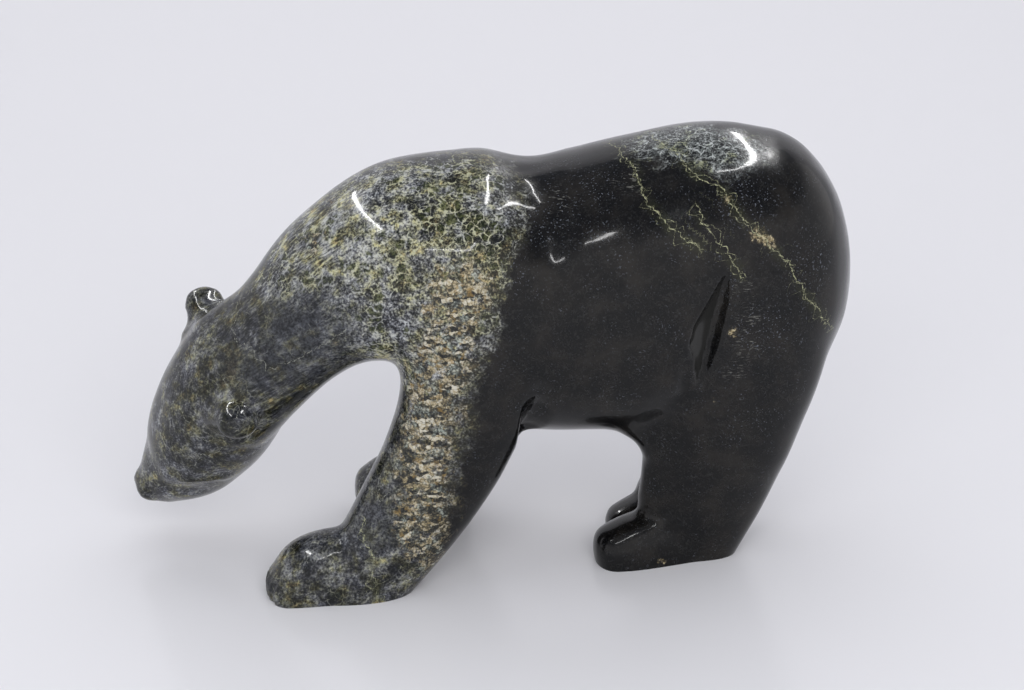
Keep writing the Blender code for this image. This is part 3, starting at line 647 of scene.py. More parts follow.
# Veins, as paths over the skin. They fade with the distance from the path and past its ends, and each is
# numbered far from the others along the noise that bends it.
VEINS = (
    ("green", ((38.3, 6.8, 170.2), (41.1, -10.2, 170.2), (45.5, -19.9, 167.7), (46.2, -27.7, 162.5),
               (49.5, -32.5, 158.3), (53.8, -35.2, 155.2), (56.6, -37.9, 150.9), (62, -40, 146.8),
               (67.6, -41.2, 144.3))),
    ("green", ((53.1, 1.2, 173.9), (57.5, -9.9, 173.7), (61.6, -17.1, 172.2), (65.4, -24.1, 168.7),
               (70.2, -28, 166), (76.7, -31.1, 163), (81.3, -34.5, 158.2), (83.7, -37.5, 152.5),
               (89.7, -38.5, 148.6), (94.3, -39.5, 143.7), (100.5, -40.1, 136.9), (105, -40.3, 129.5),
               (109.7, -38.9, 121.4), (114.3, -36.1, 114.2), (120.8, -28, 103.8))),
    ("green", ((66.9, -34.8, 157.5), (69.7, -38.1, 151.9), (73.3, -40.2, 147.4), (78.1, -41.8, 142.2),
               (80.8, -42.8, 137.3), (83.5, -43.3, 133.4))),
    ("pale", ((-108, -10.7, 108.8), (-108.1, -17.9, 101.8), (-100.5, -24.9, 100.1), (-95.7, -28.3, 93.1),
              (-88, -29.5, 95.9), (-79.1, -31.4, 101.5), (-71.4, -33.7, 106.8), (-61.8, -37.4, 116))),
    ("pale", ((-111.7, -22.6, 86.8), (-110.3, -24.7, 82.2), (-108.1, -29.3, 78.4), (-107.7, -32.9, 76.2))),
    ("pale", ((-129.3, -13.2, 68.5), (-120.3, -18.1, 59.3))),
    ("pale", ((-127.4, -11.3, 44.8), (-123.1, -14.8, 50.8), (-117.9, -16.2, 52.2), (-114.2, -17.9, 56))),
    ("green", ((-61.1, -42.1, 34.6), (-59, -45.5, 24.9), (-57.6, -45.9, 18.1), (-55.6, -45, 0.7))),
    ("pale", ((-54.5, -40.1, 50.6), (-54, -43.6, 42.9), (-48.6, -44.8, 46.7), (-44, -45.7, 43.6))),
    ("green", ((-24.2, 6.8, 166.9), (-21, -5.3, 167.2), (-18.1, -15, 165.5), (-17.2, -19.4, 163.9),
               (-21.1, -22.1, 162.2))),
    ("green", ((-33.3, -17, 163.4), (-29.9, -25, 159.5), (-28.2, -28.1, 157.5))),
    ("pale", ((3.6, -24.3, 157.1), (2.7, -30.9, 151.7), (-0.3, -36.4, 146.3), (-6.3, -41.5, 140.1),
              (-6.9, -44.5, 131.7))),
    ("pale", ((-45, -32.8, 149), (-38.1, -36.8, 145.5), (-34.5, -39.3, 142))),
)
VEIN_NEAR = 4
VEIN_GONE = 6
VEIN_END = 4
VEIN_FAR = 50
VEIN_APART = 170

# Only the rim of the soles is steeper than this
SOLE_ANGLE = 75

# Hand polish: low swells left in the surface, as wavelength and height
SWELLS = ((31, 0.10), (19, 0.05))
SWELL_FROM = (3, 12)


def measured(mesh, name, values):
    """Keeps one number for each vertex, for the material to read."""
    kept = mesh.attributes.new(name, "FLOAT", "POINT")
    kept.data.foreach_set("value", np.asarray(values, np.float32))


def inside_spots(points, spots):
    """How far inside the nearest of the spots each point lies, in millimetres."""
    return np.max([radius - np.linalg.norm(points - np.array(at), axis=1) for at, radius in spots], axis=0)


def beside(points, normals, path):
    """Distance to one side of the path, distance from it, distance along it and how far past its ends."""
    path = np.array(path, float)
    nearest = np.full(len(points), np.inf)
    side = np.zeros(len(points))
    past = np.zeros(len(points))
    run = np.zeros(len(points))
    before = 0
    for index, (first, second) in enumerate(zip(path, path[1:])):
        span = second - first
        length = np.linalg.norm(span)
        along = (points - first) @ (span / length)
        t = np.clip(along, 0, length)
        away = points - first - t[:, None] * (span / length)
        gap = np.linalg.norm(away, axis=1)
        across = np.cross(np.broadcast_to(span / length, normals.shape), normals)
        across /= np.maximum(np.linalg.norm(across, axis=1, keepdims=True), 1e-6)
        signed = np.einsum("ij,ij->i", away, across)
        over = np.zeros(len(points))
        if index == 0:
            over = np.maximum(-along, over)
        if index == len(path) - 2:
            over = np.maximum(along - length, over)
        closer = gap < nearest
        nearest = np.where(closer, gap, nearest)
        side = np.where(closer, np.where(np.abs(signed) > 0.7 * gap, signed, np.sign(signed) * gap), side)
        past = np.where(closer, over, past)
        run = np.where(closer, before + along, run)
        before += length
    return side, nearest, run, past


def vein_channels(points, normals, kind):
    """The veins of one kind: distance beside the nearest, distance along it, and how alive it is there."""
    best = np.full(len(points), np.inf)
    side = np.full(len(points), VEIN_FAR, float)
    along = np.zeros(len(points))
    alive = np.zeros(len(points))
    for index, (colour, path) in enumerate(VEINS):
        if colour != kind:
            continue
        beside_it, gap, run, past = beside(points, normals, path)
        closer = gap < best
        best = np.where(closer, gap, best)
        side = np.where(closer, beside_it, side)
        along = np.where(closer, run + VEIN_APART * index, along)
        fade = (1 - step(VEIN_NEAR, VEIN_GONE, gap)) * (1 - step(0, VEIN_END, past))
        alive = np.where(closer, fade, alive)
    return side, along, alive


def swell(points, normals):
    moved = points.copy()
    for index, (length, height) in enumerate(SWELLS):
        x, y, z = (points * (2 * pi / length)).T
        wave = np.sin(x + 0.7 * np.sin(y * 0.8 + index)) + np.sin(y * 1.1 + 0.8 * np.sin(z * 0.9 + 2 * index))
        wave += np.sin(z * 0.93 + 0.6 * np.sin(x * 1.2 + 1.3 * index))
        moved += normals * (height / 2 * wave * step(*SWELL_FROM, points[:, 2]))[:, None]
    return moved


def zones(mesh):
    """Writes the colour zones of the block onto the skin, and where the painted reflection lightens the thigh
    hollow's floor.
    """
    points = points_of(mesh)
    normals = read(mesh, "normal")
    x, y, z = points.T
    lean = BACK_LEAN * np.maximum(y - BACK_FROM, 0)
    measured(mesh, "black", x - np.interp(z, BLACK_HEIGHTS, BLACK_FROM) - lean)
    band, _ = reach(points, TAN_BAND)
    spots = inside_spots(points, TAN_SPOTS)
    measured(mesh, "tan", np.maximum(TAN_REACH - band - TAN_NARROWER * step(*TAN_ROUND, y), spots))
    measured(mesh, "ochre", inside_spots(points, OCHRE_SPOTS))
    clouds = np.zeros((3, len(points)))
    for *at, radius, warmth, lightness, celled in CLOUDS:
        near = np.exp(-((points - np.array(at)) ** 2).sum(axis=1) / radius ** 2)
        clouds += np.outer((warmth, lightness, celled), near)
    for name, share in zip(("warmth", "lightness", "celled"), clouds):
        measured(mesh, name, share)
    measured(mesh, "dark", inside_spots(points, DARK_SPOTS))
    heart, _ = reach(points, LACE_HEART)
    measured(mesh, "lace", 1 - step(LACE_FULL, LACE_GONE, heart))
    measured(mesh, "neck", (1 - step(*NECK_STREAKS, x)) * step(*HEAD_STREAKS, x) * step(*PAW_STREAKS, z))
    measured(mesh, "scratch", inside_spots(points, SCRATCHES))
    measured(mesh, "dusty", inside_spots(points, DUSTY_SPOTS))
    frosted, _ = reach(points, CRACKLE)
    measured(mesh, "crackle", CRACKLE_REACH - frosted)
    # Painted reflection: the thigh hollow's floor, where a lighter grey stands in for the bright floor it
    # mirrors
    front = np.interp(z, THIGH_HOLLOW_HEIGHTS, THIGH_HOLLOW_FRONT)
    foot = np.interp(z, THIGH_HOLLOW_HEIGHTS, THIGH_HOLLOW_FOOT)
    low, *_, high = THIGH_HOLLOW_HEIGHTS
    painted_reflection_share = (y < 0) * step(low, low + FACET_LOW, z) * (1 - step(high - FACET_HIGH, high, z))
    near, full = FACET_FRONT
    painted_reflection_share *= step(front + near, front + full, x) * (1 - step(foot + FACET_FOOT, foot, x))
    measured(mesh, "hollow_painted_reflection", painted_reflection_share)
    for kind in ("green", "pale"):
        side, along, alive = vein_channels(points, normals, kind)
        measured(mesh, kind + "_side", side)
        measured(mesh, kind + "_along", along)
        measured(mesh, kind + "_alive", alive)


class Value:
    """What a shader node gives out, with the usual signs for sums and products."""

    def __init__(self, n, socket):
        self.n = n
        self.socket = socket

    def __add__(self, other):
        return self.n.math("ADD", self, other)

    def __sub__(self, other):
        return self.n.math("SUBTRACT", self, other)

    def __mul__(self, other):
        return self.n.math("MULTIPLY", self, other)

    def __abs__(self):
        return self.n.math("ABSOLUTE", self)


class Nodes:
    """Short names for the shader nodes of one material or world."""

    def __init__(self, owner, shader="Principled BSDF"):
        owner.use_nodes = True
        self.tree = owner.node_tree
        self.shader = self.tree.nodes[shader]

    def put(self, socket, value):
        if isinstance(value, Value):
            self.tree.links.new(value.socket, socket)
        else:
            socket.default_value = value

    def made(self, kind, inputs, output=0, **settings):
        """The output of a new node, with its settings and inputs filled in."""
        node = self.tree.nodes.new(kind)
        for name, value in settings.items():
            setattr(node, name, value)
        for name, value in inputs.items():
            self.put(node.inputs[name], value)
        return Value(self, node.outputs[output])

    def math(self, operation, *values):
        return self.made("ShaderNodeMath", dict(enumerate(values)), operation=operation)

    def most(self, first, second):
        return self.math("MAXIMUM", first, second)

    def vector(self, operation, first, second, output="Vector"):
        place = "Scale" if operation == "SCALE" else 1
        return self.made("ShaderNodeVectorMath", {0: first, place: second}, output, operation=operation)

    def ramp(self, value, low, high, start=0, end=1):
        """A smooth rise from start at low to end at high."""
        inputs = {"Value": value, "From Min": low, "From Max": high, "To Min": start, "To Max": end}
        return self.made("ShaderNodeMapRange", inputs, "Result", interpolation_type="SMOOTHSTEP")

    def shifted(self, at, seed):
        """The position moved far off, so that each pattern is its own."""
        return self.vector("ADD", at, (17.3 * seed, 5.1 * seed + 3, 11.9 * seed))

    def noise(self, at, name):
        """Cloudy noise from 0 to 1."""
        size, detail, rough, seed = NOISES[name]
        inputs = {"Vector": self.shifted(at, seed), "Scale": 1 / size, "Detail": detail, "Roughness": rough}
        return self.made("ShaderNodeTexNoise", inputs, "Fac")

    def wave(self, along, size, detail, rough, seed):
        """Noise along a line, from -0.5 to 0.5."""
        inputs = {"W": along + 37.7 * seed, "Scale": 1 / size, "Detail": detail, "Roughness": rough}
        return self.made("ShaderNodeTexNoise", inputs, "Fac", noise_dimensions="1D") - 0.5

    def warped(self, at, size, amount, seed, detail):
        """The position pushed about by clouds of the given size."""
        inputs = {"Vector": self.shifted(at, seed), "Scale": 1 / size, "Detail": detail}
        push = self.vector("SUBTRACT", self.made("ShaderNodeTexNoise", inputs, "Color"), (0.5, 0.5, 0.5))
        return self.vector("ADD", at, self.vector("SCALE", push, 2 * amount))

    def along(self, at, *axes):
        """The position measured along three directions, each divided by its own length."""
        measures = [self.vector("DOT_PRODUCT", at, axis, "Value") for axis in axes]
        return self.made("ShaderNodeCombineXYZ", dict(enumerate(measures)))

    def cells(self, at, size, seed):
        """Broken cells of the given size: the distance to their edges, and a number for each cell."""
        inputs = {"Vector": self.shifted(at, seed), "Scale": 1 / size}
        edge = self.made("ShaderNodeTexVoronoi", inputs, "Distance", feature="DISTANCE_TO_EDGE")
        each = self.made("ShaderNodeTexVoronoi", inputs, "Color", feature="F1")
        return edge, self.made("ShaderNodeSeparateColor", {0: each})

    def bands(self, value, stops):
        """Colours that follow one another as the value rises."""
        shade = self.made("ShaderNodeValToRGB", {0: value})
        points = shade.socket.node.color_ramp.elements
        while len(points) < len(stops):
            points.new(0.5)
        for point, (position, *colour) in zip(points, stops):
            point.position = position
            point.color = (*colour, 1)
        return shade

    def mix(self, share, first, second, blend="MIX"):
        first, second = ((*colour, 1) if isinstance(colour, tuple) else colour for colour in (first, second))
        inputs = {0: share, 6: first, 7: second}
        return self.made("ShaderNodeMix", inputs, 2, data_type="RGBA", blend_type=blend)

    def kept(self, name):
        """A number kept for each vertex."""
        return self.made("ShaderNodeAttribute", {}, "Fac", attribute_name=name)


# Noises that the colours are laid by: size in millimetres, detail, roughness, seed
NOISES = {
    "grain": (0.9, 2, 0.62, 6), "medium": (2.7, 2, 0.6, 22), "cloud": (11, 3, 0.6, 8),
    "black clouds": (15, 3, 0.64, 2), "specks": (0.75, 1, 0.5, 5), "neck grain": (1, 3, 0.62, 35),
    "large": (8, 4, 0.64, 36), "hue": (6.5, 4, 0.64, 7), "celled": (10, 4, 0.66, 37),
    "coarse lines": (3.04, 2, 0.65, 16), "fine lines": (1.28, 2, 0.65, 17), "tan gaps": (4.2, 3, 0.68, 34),
    "rust": (3, 3, 0.6, 19), "green": (5, 3, 0.6, 20), "holes": (1.5, 3, 0.6, 42),
    "scratches": (1, 2, 0.6, 26), "polish": (11, 4, 0.6, 31), "skin": (2.4, 1, 0.6, 32),
    "black edge": (13, 5, 0.72, 23), "dark edge": (12, 4, 0.66, 15), "tan edge": (6, 4, 0.66, 24),
    "ochre edge": (2.2, 4, 0.66, 41), "crackle edge": (7, 4, 0.66, 24.5), "scratch edge": (5, 4, 0.66, 27),
}
# Ragged edges of the zones: how far the edge wanders, and how deep inside the zone begins and is full
RAGGED = {"black": (30, -2.5, 3.5), "dark": (16, -2, 10), "tan": (26, -2, 2.5), "ochre": (9, -0.4, 1.4),
          "crackle": (30, -3, 9), "scratch": (10, -2, 4)}
# Cells: size and seed
CELLS = {"coarse": (3.8, 14), "fine": (1.6, 15), "flakes": (1.7, 18)}
# Clouds that push the patterns about: size, amount, seed, detail
CELL_WARP = (4, 2.3, 14, 3)
NECK_WARP = (12, 2, 1, 1)
FLAKE_WARP = (2.8, 1.7, 4, 3)
# Directions that the streaks, flakes and scratches are stretched along, by how fine they are across
NECK_AXES = ((-0.16, 0, -0.1), (0, 1, 0), (-0.52, 0, 0.86))
FLAKE_AXES = ((0.55, 0, 0.1), (0, 0.6, 0), (-0.08, 0, 1.05))
SCRATCH_AXES = ((0.4, 0, 0.05), (0, 0.4, 0), (0, 0, 2.3))
# Strands of a vein: length and breadth of its sway, width, strength, seed
GREEN_STRANDS = ((8, 2.5, 0.16, 1, 28), (9, 7, 0.1, 0.85, 29), (7, 13, 0.06, 0.65, 39))
PALE_STRAND = (7, 3, 0.1, 0.75, 30)

# Colours, and tones that follow one another from dark to light
BLACK_TONES = ((0.36, 0.0015, 0.0017, 0.0022), (0.5, 0.0045, 0.0042, 0.0042),
               (0.66, 0.0125, 0.011, 0.0095))
BLACK_GRAIN = (0.019, 0.019, 0.018)
BLACK_RIM = (0.02, 0.019, 0.014)
# Painted reflection on the thigh hollow's floor, lighter than the black
HOLLOW_PAINTED_REFLECTION = (0.021, 0.021, 0.02)
DUST = (0.1, 0.11, 0.13)
MOTTLED_TONES = ((0.39, 0.007, 0.008, 0.009), (0.44, 0.023, 0.024, 0.026), (0.48, 0.062, 0.063, 0.065),
                 (0.52, 0.145, 0.147, 0.143), (0.565, 0.28, 0.282, 0.255), (0.62, 0.5, 0.5, 0.44))
TINTS = ((0.4, 0.93, 0.96, 1.1), (0.47, 0.99, 1, 1.03), (0.53, 1, 1, 0.85), (0.58, 1, 0.96, 0.58),
         (0.64, 1.12, 0.9, 0.48))
CELL_TONES = ((0.45, 0.012, 0.016, 0.007), (0.6, 0.075, 0.085, 0.03))
DARK_TONES = ((0.42, 0.011, 0.012, 0.015), (0.6, 0.06, 0.065, 0.075))
LACE_GREY = (0.38, 0.39, 0.36)
LACE_GREEN = (0.42, 0.42, 0.28)
TAN_TONES = ((0.2, 0.014, 0.015, 0.015), (0.34, 0.045, 0.045, 0.037), (0.46, 0.15, 0.125, 0.075),
             (0.58, 0.32, 0.265, 0.155), (0.7, 0.47, 0.42, 0.3), (0.88, 0.58, 0.56, 0.48))
RUST = (0.27, 0.175, 0.055)
GREEN_TONES = ((0.42, 0.028, 0.033, 0.033), (0.5, 0.12, 0.135, 0.125), (0.59, 0.36, 0.4, 0.35))
SEAM = (0.025, 0.025, 0.022)
OCHRE_TONES = ((0.36, 0.07, 0.055, 0.028), (0.48, 0.24, 0.19, 0.1), (0.6, 0.5, 0.43, 0.28))
CRACKLE_TONES = ((0.43, 0.006, 0.008, 0.009), (0.5, 0.034, 0.039, 0.038), (0.58, 0.18, 0.2, 0.195))
FRET_GREY = (0.52, 0.55, 0.54)
FRET_GREEN = (0.38, 0.4, 0.25)
SCRATCH = (0.15, 0.15, 0.135)
HALO = (0.03, 0.033, 0.014)
GREEN_VEIN = (0.39, 0.395, 0.24)
PALE_VEIN = (0.4, 0.41, 0.35)

# Polish: roughness where it is best and worst, extra where the stone is coarse, and the fine bumps in metres
ROUGH_BEST = 0.18
ROUGH_WORST = 0.27
ROUGH_COARSE = 0.03
STONE_IOR = 1.2
COAT_WEIGHT = 0.35
COAT_ROUGHNESS = 0.07
BUMP_HEIGHT = 0.00006
BUMP_STRENGTH = 0.6


def ragged(n, at, name):
    """How deep inside the zone a place lies, pushed about by noise."""
    return n.kept(name) + (n.noise(at, name + " edge") - 0.5) * RAGGED[name][0]


def patch(n, at, name):
    """A zone with a ragged edge."""
    return n.ramp(ragged(n, at, name), *RAGGED[name][1:])


def fretted(n, at, crooked, name):
    """Pale crooked lines between small cells, and the distance to them with a number for each cell."""
    edge, each = n.cells(crooked, *CELLS[name])
    thick = n.ramp(n.noise(at, name + " lines"), 0.42, 0.64, 0, 0.06)
    return n.ramp(edge - thick, 0.04, -0.015), edge, each


def strand(n, side, along, sway, swing, width, strength, seed):
    """One thin jagged line beside the vein's path, broken here and there."""
    swayed = n.wave(along, sway, 2, 0.6, seed) * (2 * swing)
    jagged = n.wave(along, 2, 4, 0.75, seed + 3) * 2.2
    thick = n.ramp(n.wave(along, 2.2, 3, 0.7, seed + 5), -0.12, 0.12, -0.04, width)
    return n.ramp(abs(side + swayed + jagged) - thick, 0.12, -0.03, 0, strength)


def black_layers(n, at, tone, cloud):
    """The black part, a little lighter and browner in clouds, with dust-fine specks."""
    colour = n.bands(n.noise(at, "black clouds"), BLACK_TONES)
    colour = n.mix(n.ramp(tone, 0.5, 0.62, 0, 0.5), colour, BLACK_GRAIN)
    where = n.most(n.ramp(cloud, 0.48, 0.64, 0.12, 0.6), n.ramp(n.kept("dusty"), -8, 6))
    return n.mix(n.ramp(n.noise(at, "specks"), 0.64, 0.72) * where, colour, DUST)


def mottled_layers(n, at, tone, cloud, coarse, fine, hollow):
    """The front part: grey grain in clouds, tinted blue, olive and ochre, and pale lace round dark cells."""
    lacy = n.kept("lace")
    drawn = n.noise(n.along(n.warped(at, *NECK_WARP), *NECK_AXES), "neck grain")
    grain = tone + (drawn - tone) * (n.kept("neck") * 0.65) - 0.5
    large = n.noise(at, "large") - 0.5
    value = grain * n.ramp(lacy, 0, 0.8, 0.45, 0.85) + large * n.ramp(lacy, 0, 0.8, 0.38, 0.42)
    value = value + n.ramp(lacy, 0, 0.9, 0.466, 0.503) + n.kept("lightness") * 0.03
    hue = n.noise(at, "hue") * 0.75 + n.kept("warmth") * 0.065 + 0.13
    colour = n.mix(1, n.bands(value, MOTTLED_TONES), n.bands(hue, TINTS), "MULTIPLY")
    celled = n.ramp(n.noise(at, "celled") + n.kept("celled") * 0.14, 0.5, 0.58)
    share = hollow * celled * n.ramp(lacy, 0.1, 0.8, 0.2, 0.9)
    colour = n.mix(share, colour, n.bands(tone, CELL_TONES))
    fine = fine * n.ramp(cloud, 0.44, 0.58, 0.1, 0.55) * n.ramp(lacy, 0.1, 0.9, 0.12, 1)
    share = n.most(coarse * celled, fine) * n.ramp(lacy, 0, 0.5, 0.3, 1) * n.ramp(tone, 0.4, 0.52, 0.4, 1)
    return n.mix(share, colour, n.mix(n.ramp(hue, 0.45, 0.55), LACE_GREY, LACE_GREEN))


def tan_layers(n, at, grain, tone):
    """The crystalline band down the leg: cream and ochre flakes in level rows, with dark seams."""
    edge, each = n.cells(n.along(n.warped(at, *FLAKE_WARP), *FLAKE_AXES), *CELLS["flakes"])
    colour = n.bands(each * 0.6 + (grain - 0.3), TAN_TONES)
    colour = n.mix(n.ramp(n.noise(at, "rust"), 0.56, 0.66, 0, 0.6), colour, RUST)
    colour = n.mix(n.ramp(n.noise(at, "green"), 0.52, 0.6, 0, 0.8), colour, n.bands(tone, GREEN_TONES))
    return n.mix(n.ramp(edge, 0.09, 0.02) * 0.6, colour, SEAM)


def crackle_layers(n, colour, crackle, tone, cloud, coarse, fine):
    """The frosted patch over the rump: dark ground and a net of pale lines."""
    colour = n.mix(crackle * 0.6, colour, n.bands(tone, CRACKLE_TONES))
    fret = n.most(coarse * 0.8, fine * n.ramp(cloud, 0.4, 0.6, 0.5, 1))
    fret = crackle * fret * n.ramp(tone, 0.4, 0.54, 0.3, 1)
    return n.mix(fret, colour, n.mix(n.ramp(cloud, 0.48, 0.6), FRET_GREY, FRET_GREEN))


def vein_layers(n, colour, grain, cloud):
    """Green veins of a few strands with a dim halo, and pale cracks."""
    side, along, alive = (n.kept("green_" + name) for name in ("side", "along", "alive"))
    halo = n.ramp(abs(side), 4, 0.5, 0, 0.35) * alive * n.ramp(cloud, 0.42, 0.58)
    colour = n.mix(halo, colour, HALO)
    shade = n.ramp(grain, 0.38, 0.56, 0.45, 1)
    first, *others = (strand(n, side, along, *sizes) for sizes in GREEN_STRANDS)
    for other in others:
        first = n.most(first, other)
    colour = n.mix(first * alive * shade, colour, GREEN_VEIN)
    side, along, alive = (n.kept("pale_" + name) for name in ("side", "along", "alive"))
    return n.mix(strand(n, side, along, *PALE_STRAND) * alive * shade, colour, PALE_VEIN)


def stone_material():
    material = bpy.data.materials.new("polished mottled stone")
    n = Nodes(material)
    at = n.vector("SCALE", n.made("ShaderNodeTexCoord", {}, "Object"), 1 / MM)
    grain = n.noise(at, "grain")
    tone = grain * 0.62 + n.noise(at, "medium") * 0.38
    cloud = n.noise(at, "cloud")
    black = black_layers(n, at, tone, cloud)
    crooked = n.warped(at, *CELL_WARP)
    coarse, edge, each = fretted(n, at, crooked, "coarse")
    hollow = n.ramp(edge, 0.04, 0.2) * n.ramp(each, 0.35, 0.5)
    fine, *_ = fretted(n, at, crooked, "fine")
    colour = mottled_layers(n, at, tone, cloud, coarse, fine, hollow)
    colour = n.mix(patch(n, at, "dark") * 0.6, colour, n.bands(tone, DARK_TONES))
    band = patch(n, at, "tan")
    unbroken = n.ramp(n.noise(at, "tan gaps"), 0.4, 0.48, 0.1, 1)
    colour = n.mix(band * unbroken, colour, tan_layers(n, at, grain, tone))

    # The mottled part darkens toward the black part's edge
    inside = ragged(n, at, "black")
    colour = n.mix(n.ramp(inside, -13, 0) * n.ramp(tone, 0.56, 0.44, 0.3, 0.85), colour, BLACK_RIM)
    colour = n.mix(n.ramp(inside, *RAGGED["black"][1:]), colour, black)
    # Painted reflection: the thigh hollow's floor is lightened to grey, standing in for the bright floor it
    # mirrors
    colour = n.mix(n.kept("hollow_painted_reflection"), colour, HOLLOW_PAINTED_REFLECTION)

    # Ochre spots with dark holes, the crackled patch, level scratches and the veins
    ochre = patch(n, at, "ochre") * n.ramp(n.noise(at, "holes"), 0.42, 0.5, 0.1, 1)
    colour = n.mix(ochre, colour, n.bands(grain, OCHRE_TONES))
    crackle = patch(n, at, "crackle")
    colour = crackle_layers(n, colour, crackle, tone, cloud, coarse, fine)
    scratch = n.ramp(n.noise(n.along(at, *SCRATCH_AXES), "scratches"), 0.58, 0.68) * patch(n, at, "scratch")
    colour = n.mix(scratch * 0.8, colour, SCRATCH)
    colour = vein_layers(n, colour, grain, cloud)

    rough = n.ramp(n.noise(at, "polish"), 0.3, 0.7, ROUGH_BEST, ROUGH_WORST)
    rough = rough + n.most(band, crackle) * ROUGH_COARSE
    bumps = {"Height": n.noise(at, "skin"), "Distance": BUMP_HEIGHT, "Strength": BUMP_STRENGTH}
    for name, value in (("Base Color", colour), ("Roughness", rough), ("IOR", STONE_IOR),
                        ("Coat Weight", COAT_WEIGHT), ("Coat Roughness", COAT_ROUGHNESS),
                        ("Normal", n.made("ShaderNodeBump", bumps, "Normal"))):
        n.put(n.shader.inputs[name], value)
    return material


def fitted(item, low, high):
    """Shifts the carving over the origin and brings it to the frame's outline."""
    points = points_of(item.data) * MM
    least = points.min(axis=0)
    most = points.max(axis=0)
    scale = (np.array(high) - np.array(low)) / (most - least)
    middle = (least + most) / 2
    middle[2] = least[2]
    aim = (np.array(high) + np.array(low)) / 2
    aim[2] = low[2]
    move(item, (points - middle) * scale + aim)
    return middle


def bear_figure():
    mesh = bpy.data.meshes.new("bear_figure")
    shape = masses()
    shape.to_mesh(mesh)
    shape.free()
    bear = placed("bear_figure", mesh)
    remesh = bear.modifiers.new("one skin", "REMESH")
    remesh.mode = "VOXEL"
    remesh.voxel_size = GRAIN * MM
    baked(bear)
    soften(bear, round(EVENED_AREA / GRAIN ** 2), softness(points_of(bear.data)))
    soften(bear, LIGHT_PASSES)
    carve(bear)
    move(bear, swell(points_of(bear.data), read(bear.data, "normal")) * MM)
    soften(bear, 1)
    saw_soles(bear)
    zones(bear.data)
    bear.data.shade_smooth()
    bear.data.set_sharp_from_angle(angle=radians(SOLE_ANGLE))
    return bear


# Camera: where it aims, before the carving is shifted, its turn and rise in degrees, its distance, lens and
# sensor, and how far it sees in metres
AIM = (0, 0, 88)
CAMERA_TURN = -4
CAMERA_RISE = 24
CAMERA_DISTANCE = 1119.7
LENS = 100
SENSOR_WIDTH = 36
FARTHEST = 20

# Floor in metres: half width, nearest edge, where it starts to rise, the bend's radius and parts, and its top
FLOOR_HALF_WIDTH = 2.6
FLOOR_NEAR = -1.6
FLOOR_FLAT_END = 1.4
FLOOR_RADIUS = 0.7
FLOOR_PARTS = 16
FLOOR_TOP = 2.2
FLOOR_COLOUR = (0.82, 0.815, 0.835, 1)
FLOOR_ROUGHNESS = 0.2
FLOOR_IOR = 1.35


def look(item, way):
    """Turns a camera or lamp to face one way."""
    item.rotation_mode = "QUATERNION"
    item.rotation_quaternion = way.to_track_quat("-Z", "Y")


def camera(shift):
    turn = radians(CAMERA_TURN)
    rise = radians(CAMERA_RISE)
    back = Vector((sin(turn) * cos(rise), -cos(turn) * cos(rise), sin(rise)))
    data = bpy.data.cameras.new("camera")
    data.lens = LENS
    data.sensor_width = SENSOR_WIDTH
    data.clip_end = FARTHEST
    item = placed("camera", data)
    item.location = Vector(AIM) * MM - Vector(shift) + back * (CAMERA_DISTANCE * MM)
    look(item, -back)
    bpy.context.scene.camera = item


def studio_floor():
    """A pale, slightly glossy floor that sweeps up far behind."""
    shape = bmesh.new()
    profile = [(FLOOR_NEAR, 0), (FLOOR_FLAT_END, 0)]
    for index in range(1, FLOOR_PARTS + 1):
        angle = index / FLOOR_PARTS * pi / 2
        profile.append((FLOOR_FLAT_END + FLOOR_RADIUS * sin(angle), FLOOR_RADIUS * (1 - cos(angle))))
    profile.append((FLOOR_FLAT_END + FLOOR_RADIUS, FLOOR_TOP))
    left, right = ([shape.verts.new((x, y, z)) for y, z in profile]
                   for x in (-FLOOR_HALF_WIDTH, FLOOR_HALF_WIDTH))
    for index in range(len(profile) - 1):
        shape.faces.new((left[index], right[index], right[index + 1], left[index + 1]))
    mesh = bpy.data.meshes.new("studio_floor")
    shape.to_mesh(mesh)
    shape.free()
    mesh.shade_smooth()
    floor = placed("studio_floor", mesh)
    material = bpy.data.materials.new("pale floor")
    inputs = Nodes(material).shader.inputs
    for name, value in (("Base Color", FLOOR_COLOUR), ("Roughness", FLOOR_ROUGHNESS), ("IOR", FLOOR_IOR)):
        inputs[name].default_value = value
    mesh.materials.append(material)
    floor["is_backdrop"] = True


# Strip lamps that the stone mirrors, level over the carving: path in plan, width, glow, and the way it faces
# where that isn't down. All in metres.
STRIP_HEIGHT = 0.57
STRIPS = {
    "left_strip": (((-0.465, 0.65), (-0.425, 0.19), (-0.398, 0.045), (-0.368, -0.065), (-0.316, -0.211)),
                   0.022, 180),
    "left_branch": (((-0.39, -0.202), (-0.316, -0.211)), 0.012, 120),
    "right_strip": (((0.30, 0.75), (0.285, 0.45), (0.285, 0.2), (0.275, 0.06), (0.25, -0.01)), 0.024, 170),
    "right_end": (((0.25, -0.01), (0.205, -0.062), (0.125, -0.1)), 0.012, 120),
    "middle_strip": (((0.057, -0.066), (0.079, 0.086), (0.114, 0.298)), 0.14, 180, (-1, 0, 0.05)),
    "low_strip": (((-0.23, -0.585), (-0.054, -0.583), (-0.015, -0.499), (-0.001, -0.455)), 0.022, 105),
}
# Soft lamps for the floor and the shaded sides, not mirrored: place, aim, size, power
SOFT = {
    "back_fill": ((0, 1.5, 1.7), (0, 1.6, 0), (3.4, 1.4), 7),
    "top_fill": ((0, 0.3, 1.6), (0, 0.3, 0), (2.4, 2.2), 10.5),
    "front_fill": ((0, -1.1, 0.85), (0, -0.2, 0), (1.2, 0.5), 7.5),
}
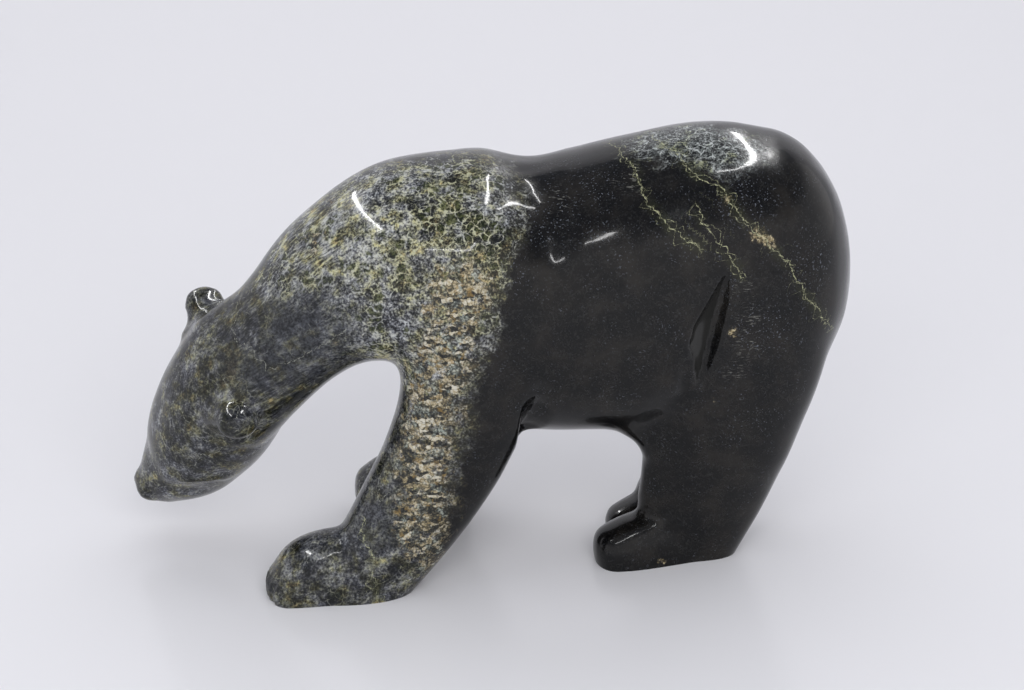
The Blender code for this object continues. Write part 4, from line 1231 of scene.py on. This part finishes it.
# Brightness of the room by height, from the floor to right above
SKY = ((0, 1, 0.99, 1.02), (0.43, 1, 0.99, 1.02), (0.62, 0.36, 0.37, 0.41), (0.75, 0.24, 0.255, 0.3),
       (1, 0.27, 0.285, 0.33))


def area_lamp(name, length, width, power):
    """A flat lamp, not yet in its place."""
    data = bpy.data.lights.new(name, "AREA")
    data.shape = "RECTANGLE"
    data.size = length
    data.size_y = width
    data.energy = power
    return placed(name, data)


def strip_light(lit, name, path, width, glow, facing=(0, 0, -1)):
    """A thin strip lamp bent along a path, which shines the way it faces, on the lit things alone."""
    corners = [Vector((x, y, STRIP_HEIGHT)) for x, y in path]
    for index, (start, end) in enumerate(zip(corners, corners[1:])):
        length = (end - start).length
        item = area_lamp(f"{name}_{index}", length, width, glow * length * width)
        along = (end - start).normalized()
        ahead = Vector(facing)
        ahead = (ahead - along * ahead.dot(along)).normalized()
        across = ahead.cross(along)
        turned = Matrix((along, -across, -ahead)).transposed()
        item.matrix_world = Matrix.Translation((start + end) / 2) @ turned.to_4x4()
        item.visible_diffuse = False
        item.light_linking.receiver_collection = lit


def soft_light(name, at, aim, size, power):
    item = area_lamp(name, *size, power)
    item.location = at
    look(item, Vector(aim) - Vector(at))
    item.visible_glossy = False


def world_light():
    """A dark ceiling, bright walls round the horizon."""
    world = bpy.data.worlds.new("studio")
    bpy.context.scene.world = world
    n = Nodes(world, "Background")
    way = n.made("ShaderNodeTexCoord", {}, "Generated")
    height = n.made("ShaderNodeSeparateXYZ", {0: way}, "Z")
    n.put(n.shader.inputs["Color"], n.bands(height, SKY))


low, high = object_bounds()
bear = bear_figure()
shift = fitted(bear, low, high)
bear.data.materials.clear()
bear.data.materials.append(stone_material())
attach(bear, "root")
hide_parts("bear")
camera(shift)
studio_floor()
lit = bpy.data.collections.new("lit_by_strips")
lit.objects.link(bear)
for name, lamp in STRIPS.items():
    strip_light(lit, name, *lamp)
for name, lamp in SOFT.items():
    soft_light(name, *lamp)
world_light()
bpy.context.scene.view_settings.view_transform = "Standard"
bpy.context.scene.view_settings.look = "None"

low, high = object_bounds()
